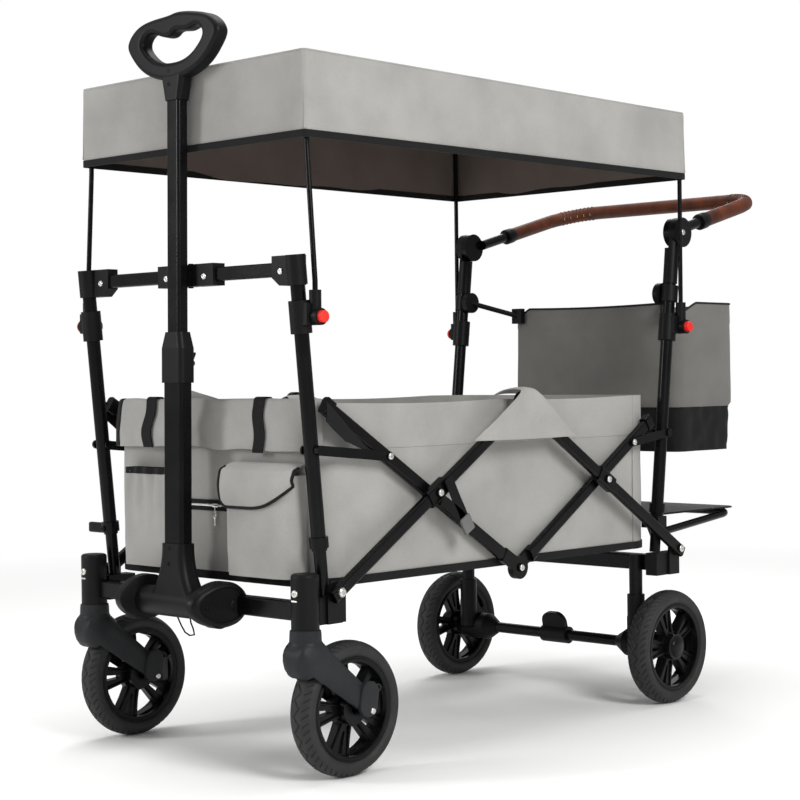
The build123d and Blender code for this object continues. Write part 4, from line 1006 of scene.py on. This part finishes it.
def treadCut(run, half):
    share = (run / tyre["pitch"]) % 1.0
    zig = tyre["zigzag"] * (4 * abs(share - 0.5) - 1)
    centre = abs(half - zig) * tyre["zigFlank"]
    cut = max(0.0, 1 - (centre / tyre["line"]) ** 4)
    low, high = tyre["shoulder"]
    if low < abs(half) < high:
        stagger = 0.5 * tyre["pitch"] if half > 0 else 0
        lean = (run + tyre["slant"] * abs(half) + stagger) % (tyre["pitch"] / 2)
        off = min(lean, tyre["pitch"] / 2 - lean) * tyre["slantFlank"]
        cut = max(cut, 1 - (off / tyre["line"]) ** 4)
    return cut


def buildTyre(name, node, body):
    centre = extent(node)[2]
    section = tyreSection()
    rings = []
    for turn in turnsOf(tyre["steps"]) + [0.0]:
        ring = []
        for radius, half, tread in section:
            if tread:
                radius -= tyre["depth"] * treadCut(turn * tyre["radius"] * mm, half)
            ring.append(centre + Vector((radius * math.cos(turn), half, radius * math.sin(turn))))
        rings.append(ring)
    skin = ringPiece(name, rings)
    dress(skin, "rubber", body, 35)
    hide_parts(node)


def ribAt(key, share):
    start, change = hub[key]
    return start + change * share


def buildHubs(name, node, body, sides):  # rim lips and spoke ribs, and caps on the sides that show
    centre = extent(node)[2]
    parts = []
    for sign in (-1, 1):
        side, sideX = Vector((0, sign, 0)), Vector((1, 0, 0))
        rings = []
        for radius, height in scaled(hub["lip"]):
            rings.append(circle(centre + side * height, radius, sideX, side.cross(sideX), hub["lipCount"]))
        parts.append(ringPiece("rimLip", rings))
        for spoke in range(hub["spokes"]):
            turn = 2 * math.pi * (spoke + 0.5) / hub["spokes"]
            foot = Vector((math.cos(turn), 0, math.sin(turn)))
            for edge in (-1, 1):
                across = Vector((-math.sin(turn), 0, math.cos(turn))) * edge
                points = []
                for k in range(hub["ribSteps"] + 1):
                    share = k / hub["ribSteps"]
                    out, run = ribAt("ribOut", 1 - share), ribAt("ribRun", share)
                    spot = centre + side * out * mm + foot * run * mm
                    points.append(spot + across * ribAt("ribWide", share ** hub["ribFlare"]) * mm)
                parts.append(tubeAlong("spokeRib", points, hub["rib"], 8))
    for sign in sides:
        parts.append(lathe("hubCap", centre, (0, sign, 0), scaled(hub["cap"]), 48))
    dress(joined(parts, name), "rim", body, 35)


for end in ("front", "rear"):
    for side, sign in (("left", -1), ("right", 1)):
        label = end + side.capitalize()
        body = f"{end}_wheel_{side}"
        buildTyre(label + "Tyre", f"{end}_tyre_{side}", body)
        buildHubs(label + "Hub", f"{end}_rim_{side}", body, (sign,) if end == "rear" else ())
print("wheels done")

# caster forks: a swept hood over the wheel, hollowed for the tyre, with covers over the axle ends

fork = {"kingpin": middle - 476 * mm, "crownZ": 184 * mm, "crown": 30 * mm, "boss": 27 * mm,
        "half": 32.6 * mm, "tip": vec(12, 0, 11), "edgeAt": vec(12, 0, 147), "edgeSlope": 0.66,
        "lipSlope": 0.36, "frontWide": 0.5, "widens": 30 * mm, "room": 108.5 * mm, "roomHalf": 26 * mm,
        "counts": (8, 10, 7),
        "crownLevels": (-1.0, -0.985, -0.93, -0.82, -0.62, -0.35), "armSteps": 14,
        "bossLevels": (1.2, 1.45, 1.7, 1.86, 1.96, 1.995, 2.0),
        "neck": ((0, 227.4), (21, 227.4), (23, 226), (23.6, 221), (24, 210), (25.4, 208), (26, 204),
                 (28, 190), (14, 186), (0, 186)),
        "cover": (27, 18), "coverTurn": 80, "coverAt": vec(16, 0, 15), "coverCounts": (6, 2, 9),
        "coverShape": ((30, 0), (34.8, 0), (36.1, 0.7), (36.7, 2.2), (36.9, 7.0), (36.9, 17.8)),
        "ear": (18, -17, 33.4), "earRadius": 4.6 * mm, "earWire": 1.7 * mm, "screwPlace": vec(21, 0, -3)}


def cutWith(piece, cutter):
    modify(piece, "BOOLEAN", operation="DIFFERENCE", object=cutter, solver="EXACT")
    bpy.data.objects.remove(cutter)


def forkHood(name, axle):
    crown = Vector((fork["kingpin"], axle.y, fork["crownZ"]))
    tip = axle + fork["tip"]
    along = (tip - crown).normalized()
    across = Vector((-along.z, 0, along.x))
    length = (tip - crown).length
    front, boss = fork["crown"], fork["boss"]
    rings = []
    for level in (*fork["crownLevels"], *[k / fork["armSteps"] for k in range(fork["armSteps"] + 1)],
                  *fork["bossLevels"]):
        near, blunt = 0, 0.6
        if level < 0:
            at, half = level * front, front * math.sqrt(max(1 - level ** 2, 0))
        elif level <= 1:
            at, half = level * length, front + (boss - front) * level ** 0.8
        else:
            at, half = length + (level - 1) * boss, boss * math.sqrt(max(1 - (level - 1) ** 2, 0))
        if level < 1:
            near, blunt = max(0, 1 - abs(level + 0.2) / 1.1), 0.8
        full = min(1, max(0.0, (at + front) / fork["widens"])) ** 0.5
        wide = fork["half"] * (fork["frontWide"] + (1 - fork["frontWide"]) * full)
        half = max(half, 0.4 * mm)
        ring = []
        for p in loopPoints(half, wide, min(half, wide) * blunt, fork["counts"]):
            point = crown + along * at + across * p.x * (1 + 0.08 * near) + Vector((0, p.y, 0))
            past = point.x - fork["kingpin"] - fork["edgeAt"].x
            slope = fork["edgeSlope"] if past > 0 else fork["lipSlope"]
            point.z = max(point.z, fork["edgeAt"].z - past * slope)  # ends along a line over the tyre
            ring.append(point)
        rings.append(ring)
    hood = ringPiece(name, rings, openEnds=False)
    rings = []
    for radius, y in ((tiny, -1), (fork["room"], -1), (fork["room"], 1), (tiny, 1)):
        rings.append(circle(axle + Vector((0, y * fork["roomHalf"], 0)), radius, (1, 0, 0), (0, 0, 1), 96))
    cutWith(hood, ringPiece("wheelRoom", rings, openEnds=False))
    return hood


def buildFork(side):
    axle = extent(f"front_tyre_{side}")[2]
    parts = [forkHood(f"forkHood{side}", axle)]
    parts.append(lathe("forkNeck", (fork["kingpin"], axle.y, 0), (0, 0, 1), scaled(fork["neck"]), 48))
    turn = math.radians(fork["coverTurn"])
    longWay = Vector((math.cos(turn), 0, math.sin(turn)))
    wideWay = Vector((-math.sin(turn), 0, math.cos(turn)))
    centre = axle + fork["coverAt"]
    longHalf, wideHalf = fork["cover"]
    for face in (-1, 1):
        rings = []
        for out, inset in fork["coverShape"]:
            sizes = (longHalf - inset, wideHalf - inset, max(wideHalf - inset - 0.1, 0.02))
            loop = loopPoints(*[size * mm for size in sizes], fork["coverCounts"])
            rings.append([centre + longWay * p.x + wideWay * p.y + vec(0, face * out, 0) for p in loop])
        parts.append(ringPiece("axleCover", rings, openEnds=False))
        longEar, wideEar, outEar = fork["ear"]
        ear = centre + longWay * longEar * mm + wideWay * wideEar * mm + vec(0, face * outEar, 0)
        eye = circle(ear, fork["earRadius"], (1, 0, 0), (0, 0, 1), 20)
        parts.append(tubeAlong("coverEar", eye, fork["earWire"], 8, closed=True))
    whole = joined(parts, f"casterFork{side.capitalize()}")
    dress(whole, "fork", f"caster_{side}", 32)
    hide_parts(f"caster_fork_{side}")


buildFork("left")
buildFork("right")
print("forks done")

# bright hardware: screws with a driver recess, and the slot marks on the front feet

def screwAt(place, axis, radius, height=2.2 * mm):
    profile = [(0, 0.35), (0.30, 0.35), (0.40, 0.9), (0.62, 1.0), (0.86, 0.8), (1.0, 0.35), (1.0, -0.6),
               (0, -0.6)]
    return lathe("screw", place, axis, [(r * radius, h * height) for r, h in profile], 24)


def dashAt(place, axis, length, height):
    side = Vector(axis).cross(Vector((0, 0, 1))).normalized()
    points = [Vector(place) + side * length * (k / 4 - 0.5) for k in range(5)]
    return tubeAlong("slotMark", points, height / 2, 8)


def buildScrews():  # places in millimetres from the scissors' centre, then radius and height
    screwSet = {
        "facing": ((-482.6, 215, 751, 5.0, 2.2), (-484.6, 45, 751, 5.0, 2.2), (-497, 252, 281, 5.6, 2.6)),
        "dash": (-497, 252, 270), "dashSize": (11 * mm, 3 * mm),
        "outside": (("front_frame", -428, 282.2, 279, 6.4), ("rear_frame", 428, 282.2, 279, 6.4),
                    ("front_rising", -214, 284.2, 414, 5.6), ("rear_falling", 214, 284.2, 414, 5.6),
                    ("front_falling", 0, 266.2, 279, 5.6), ("front_link", -308.7, 268.4, 473.8, 5.4),
                    ("rear_link", 308.7, 268.4, 473.8, 5.4), ("rear_frame", 466, 265.2, 850, 5.2)),
        "axleOut": 37.1, "axleHead": 4.8 * mm,
        "yoke": ((-523.2, 4, 311), (-520.8, 4, 335)), "yokeHead": (3.0 * mm, 1.4 * mm),
        "gripZ": (1048, 1068), "gripAt": (-518.6, 5), "gripHead": (3.4 * mm, 1.6 * mm),
        "pivotZ": 251, "lean": math.tan(math.radians(0.8))}
    front = (-1, 0, 0)
    bodies = ("front_frame", "rear_frame", "front_rising", "front_falling", "rear_falling", "front_link",
              "rear_link", "caster_left", "caster_right", "pull_handle", "pull_slider")
    screws = {body: [] for body in bodies}
    for sign, side in ((-1, "left"), (1, "right")):
        for x, y, z, radius, height in screwSet["facing"]:
            head = screwAt(fromMiddle(x, sign * y, z), front, radius * mm, height * mm)
            screws["front_frame"].append(head)
        x, y, z = screwSet["dash"]
        screws["front_frame"].append(dashAt(fromMiddle(x, sign * y, z), front, *screwSet["dashSize"]))
        for body, x, y, z, radius in screwSet["outside"]:
            screws[body].append(screwAt(fromMiddle(x, sign * y, z), (0, sign, 0), radius * mm))
        foot = extent(f"front_tyre_{side}")[2] + fork["screwPlace"]
        for face in (-1, 1):
            place = foot + vec(0, face * screwSet["axleOut"], 0)
            screws[f"caster_{side}"].append(screwAt(place, (0, face, 0), screwSet["axleHead"]))
    for place in screwSet["yoke"]:
        screws["pull_handle"].append(screwAt(fromMiddle(*place), front, *screwSet["yokeHead"]))
    x, y = screwSet["gripAt"]
    for z in screwSet["gripZ"]:
        place = fromMiddle(x + (z - screwSet["pivotZ"]) * screwSet["lean"], y, z)
        screws["pull_slider"].append(screwAt(place, front, *screwSet["gripHead"]))
    for body, heads in screws.items():
        group = joined(heads, "screws" + "".join(word.capitalize() for word in body.split("_")))
        dress(group, "nylon" if body.startswith("pull") else "steel", body, 40)


# fittings: barrel caps, bail wire, post clip, tie strap, leather trim and tip cloth

def buildCaps():
    cap = {"centre": fromMiddle(-507, 0, 254), "halfLong": 50 * mm, "halfHigh": 40 * mm,
           "tilt": 0.3, "count": 48, "from": 78, "screw": 6 * mm, "rib": 1.3 * mm,
           "ribs": (-36, -31.6, -27.2, -22.8), "ribAt": (103.6, -6), "ribSlope": 0.15,
           "ribStep": (0.8, 3), "point": 0.14,
           "screwPlace": (20, 106.8),
           "shape": ((0.9, 78), (1.0, 80), (1.0, 97), (0.95, 101.5), (0.86, 105), (0.8, 106), (0.77, 105.6),
                     (0.74, 103), (0.4, 103.4), (0.02, 103.8))}

    def capLoop(share, y, tilt):  # leaf outline, its point to the front, its face turned forward
        points = []
        for turn in turnsOf(cap["count"]):
            tall = cap["halfHigh"] * math.sin(turn) * (1 - cap["point"] + cap["point"] * math.cos(turn))
            leaf = Vector((cap["halfLong"] * math.cos(turn), tilt * math.cos(turn), tall))
            points.append(cap["centre"] + share * leaf + Vector((0, y, 0)))
        return points

    caps = []
    for sign in (-1, 1):
        rings = []
        for share, y in cap["shape"]:
            rings.append(capLoop(share, sign * y * mm, sign * (y - cap["from"]) * cap["tilt"] * mm))
        caps.append(ringPiece("barrelCap", rings, openEnds=False))
        for x in cap["ribs"]:
            y, z = cap["ribAt"]
            ahead, up = cap["ribStep"]
            foot = cap["centre"] + vec(x, sign * (y + cap["ribSlope"] * x), z)
            points = [foot + vec(ahead * k, 0, up * k) for k in range(4)]
            caps.append(tubeAlong("capRib", points, cap["rib"], 8))
        x, y = cap["screwPlace"]
        caps.append(screwAt(cap["centre"] + vec(x, sign * y, 0), (-cap["ribSlope"], sign, 0), cap["screw"]))
    dress(joined(caps, "barrelCaps"), "nylon", "front_frame", 35)


def buildFittings():
    bail = {"x": -506, "radius": 1.3 * mm, "bend": ((8, 240), (3, 229), (-6, 216), (-15, 206), (-26, 202),
                                                    (-37, 204), (-35, 212), (-29, 222), (-27, 234))}
    wire = tubeAlong("bailWire", [fromMiddle(bail["x"], y, z) for y, z in bail["bend"]], bail["radius"], 10)
    dress(wire, "tube", "front_frame")

    clip = {"x": -445, "z": 349, "run": (240, 262, 284, 302), "size": (17 * mm, 9 * mm),
            "screwPlace": (-459, 249, 349), "screw": 5 * mm}
    points = [fromMiddle(clip["x"], y, clip["z"]) for y in clip["run"]]
    band = ribbon("postClip", points, *clip["size"], (0, 0, 1))
    head = screwAt(fromMiddle(*clip["screwPlace"]), (-1, 0, 0), clip["screw"])
    dress(joined([band, head], "farPostClip"), "nylon", "front_frame", 35)

    tie = {"y": -286.4, "size": (19 * mm, 1.8 * mm),
           "runs": {(0.88, 0, 0.47): ((-200, 436), (-190, 418), (-180, 400), (-170, 384), (-163, 370)),
                    (0.5, 0, 0.87): ((-214, 402), (-200, 394), (-184, 384), (-172, 376), (-163, 368))},
           "buckleY": -287, "buckle": ((-165, 374), (-158, 362), (-151, 350)),
           "buckleSize": (24 * mm, 6 * mm)}
    ties = []
    for across, run in tie["runs"].items():
        points = [fromMiddle(x, tie["y"], z) for x, z in run]
        ties.append(ribbon("tieStrap", points, *tie["size"], across))
    dress(joined(ties, "nearTieStrap"), "webbing", "front_rising", 50)
    points = [fromMiddle(x, tie["buckleY"], z) for x, z in tie["buckle"]]
    buckle = ribbon("nearTieBuckle", points, *tie["buckleSize"], (0.87, 0, 0.5))
    dress(buckle, "acetal", "front_rising", 35)

    tip = {"low": ((-440, 530), (-402, 500)), "high": ((-440, 560), (-348, 480)), "y": -264.6 * mm,
           "cloth": 1.6 * mm, "wave": 1.2 * mm, "waveSize": 25 * mm}

    def tipPlace(u, v):  # black cloth under the front tip of the falling bar
        low, high = [Vector(ends[0]).lerp(Vector(ends[1]), u) for ends in (tip["low"], tip["high"])]
        spot = low.lerp(high, v) * mm
        y = tip["y"] - tip["wave"] * ripple((spot.x, 0, spot.y), tip["waveSize"], 3)
        return Vector((middle + spot.x, y, spot.y))
    near = sheetOf("tipCloth", 14, 10, tipPlace)
    modify(near, "SOLIDIFY", thickness=tip["cloth"], offset=0)
    far = mirrored(near, "tipClothFar")
    dress(joined([near, far], "barTipCloth"), "black", "front_falling", 50)


def buildLeather():  # ferrules at the leather's ends, gathers and stitches round its bends
    trim = {"rise": math.radians(15), "pivot": fromMiddle(466, 0, 850), "ferruleAt": (106, 236),
            "ferrule": ((9.6, -11), (14.4, -11), (15.2, -9.5), (15.2, 7), (14.6, 8.5), (14.6, 11),
                        (13.2, 12), (9.6, 12)),
            "bendAt": (233.2, 156), "bend": 80, "from": 30, "step": 6, "gathers": 9, "grip": 13.2 * mm,
            "gather": 1.5 * mm, "lace": 13.6 * mm, "stitch": 1.1 * mm,
            "stitchRun": (-2.4, -1.2, 0, 1.2, 2.4)}
    ahead = Vector((math.cos(trim["rise"]), 0, math.sin(trim["rise"])))
    ferrules, gathers, stitches = [], [], []
    for sign in (-1, 1):
        foot = trim["pivot"] + ahead * trim["ferruleAt"][0] * mm + vec(0, sign * trim["ferruleAt"][1], 0)
        ferrules.append(lathe("leatherFerrule", foot, ahead, scaled(trim["ferrule"]), 40))
        for step in range(trim["gathers"]):
            turn = math.radians(trim["from"] + trim["step"] * step)
            away, aside = math.sin(turn), sign * math.cos(turn)
            spot = trim["pivot"] + ahead * (trim["bendAt"][0] + trim["bend"] * away) * mm
            spot += vec(0, sign * trim["bendAt"][1] + trim["bend"] * aside, 0)
            outward = (ahead * away + Vector((0, aside, 0))).normalized()
            upward = outward.cross(ahead * math.cos(turn) - Vector((0, sign * away, 0))).normalized()
            ring = circle(spot, trim["grip"], outward, upward, 28)
            gathers.append(tubeAlong("leatherGather", ring, trim["gather"], 8, closed=True))
            if step % 2 == 0:
                lace = spot - outward * trim["lace"]
                points = [lace + upward * k * mm for k in trim["stitchRun"]]
                stitches.append(tubeAlong("leatherStitch", points, trim["stitch"], 8))
    dress(joined(ferrules, "leatherFerrules"), "nylon", "push_handle", 35)
    dress(joined(gathers, "leatherGathers"), "leather", "push_handle", 50)
    dress(joined(stitches, "leatherStitches"), "thread", "push_handle", 50)


buildScrews()
buildCaps()
buildFittings()
buildLeather()
print("screws and fittings done")

# stage: floor, light and camera

def buildStage():
    stage = {"floorHalf": 9.0, "nearRing": 1.1, "farRing": 3.2, "floor": "#FAFAF9", "ambient": 0.46}
    bpy.ops.mesh.primitive_plane_add(size=2 * stage["floorHalf"], location=(0, 0, 0))
    floor = bpy.context.object
    floor.name = "studioFloor"
    settings = {"Base Color": rgb(stage["floor"]), "Roughness": 0.9}
    material, tree, shader, place = newMaterial("paintedFloor", settings)
    reach = addNode(tree, "ShaderNodeVectorMath", {"operation": "LENGTH"}, [(place, 0)])
    rings = {"From Min": stage["nearRing"], "From Max": stage["farRing"]}
    fade = addNode(tree, "ShaderNodeMapRange", rings, [(reach.outputs["Value"], "Value")])
    path = addNode(tree, "ShaderNodeLightPath")
    seen = mathOf(tree, "MULTIPLY", [(fade.outputs["Result"], 0), (path.outputs["Is Camera Ray"], 1)])
    white = addNode(tree, "ShaderNodeEmission", {"Color": (1, 1, 1, 1), "Strength": 1.0})
    sources = [(seen, 0), (shader.outputs[0], 1), (white.outputs[0], 2)]
    mix = addNode(tree, "ShaderNodeMixShader", links=sources)
    tree.links.new(mix.outputs[0], tree.nodes["Material Output"].inputs["Surface"])
    floor.data.materials.append(material)

    world = bpy.data.worlds.new("studio")
    bpy.context.scene.world = world
    world.use_nodes = True
    tree = world.node_tree
    sky = tree.nodes["Background"]
    sky.inputs["Color"].default_value = (1, 1, 1, 1)
    path = addNode(tree, "ShaderNodeLightPath")
    rays = [(path.outputs["Is Camera Ray"], 0), (path.outputs["Is Transmission Ray"], 1)]
    shown = mathOf(tree, "MAXIMUM", rays)
    levels = {"To Min": stage["ambient"], "To Max": 1.0}
    level = addNode(tree, "ShaderNodeMapRange", levels, [(shown, "Value")])
    tree.links.new(level.outputs["Result"], sky.inputs["Strength"])


def addLamp(name, place, aim, size, power):
    bpy.ops.object.light_add(type="AREA", location=place)
    lamp = bpy.context.object
    lamp.name = name
    lamp.data.shape = "RECTANGLE"
    lamp.data.size, lamp.data.size_y = size
    lamp.data.energy = power
    lamp.rotation_euler = (Vector(aim) - Vector(place)).to_track_quat("-Z", "Y").to_euler()


def buildLamps():
    lamps = {
        "sideLamp": ((-0.9, -3.0, 2.2), (0.1, 0, 0.5), (1.0, 1.3), 78),
        "frontLamp": ((-2.9, 1.5, 1.5), (-0.5, 0, 0.5), (0.6, 1.1), 36),
        "topLamp": ((0.1, 0.3, 3.2), (0, 0, 0.5), (2.4, 2.0), 60),
        "rimLamp": ((1.9, 1.4, 1.8), (0, 0, 0.6), (1.0, 1.4), 14),
    }
    for name, settings in lamps.items():
        addLamp(name, *settings)


def buildCamera():
    view = {"focal": 1854.2, "image": 800, "place": (middle / mm - 2331.3, -2217.9, 596.9), "yaw": -0.809,
            "pitch": -0.0135, "roll": -0.0119}
    yaw, pitch, roll = view["yaw"], view["pitch"], view["roll"]
    ahead = Vector((-math.sin(yaw) * math.cos(pitch), math.cos(yaw) * math.cos(pitch), math.sin(pitch)))
    right = Vector((math.cos(yaw), math.sin(yaw), 0))
    up = right.cross(ahead)
    turnedRight = math.cos(roll) * right + math.sin(roll) * up
    turnedUp = math.cos(roll) * up - math.sin(roll) * right
    bpy.ops.object.camera_add(location=Vector(view["place"]) * mm)
    camera = bpy.context.object
    camera.data.sensor_width = 36
    camera.data.lens = view["focal"] / view["image"] * camera.data.sensor_width
    camera.rotation_euler = Matrix((turnedRight, turnedUp, -ahead)).transposed().to_euler()
    bpy.context.scene.camera = camera


buildStage()
buildLamps()
buildCamera()
bpy.context.scene.view_settings.view_transform = "Standard"
print("stage ready")
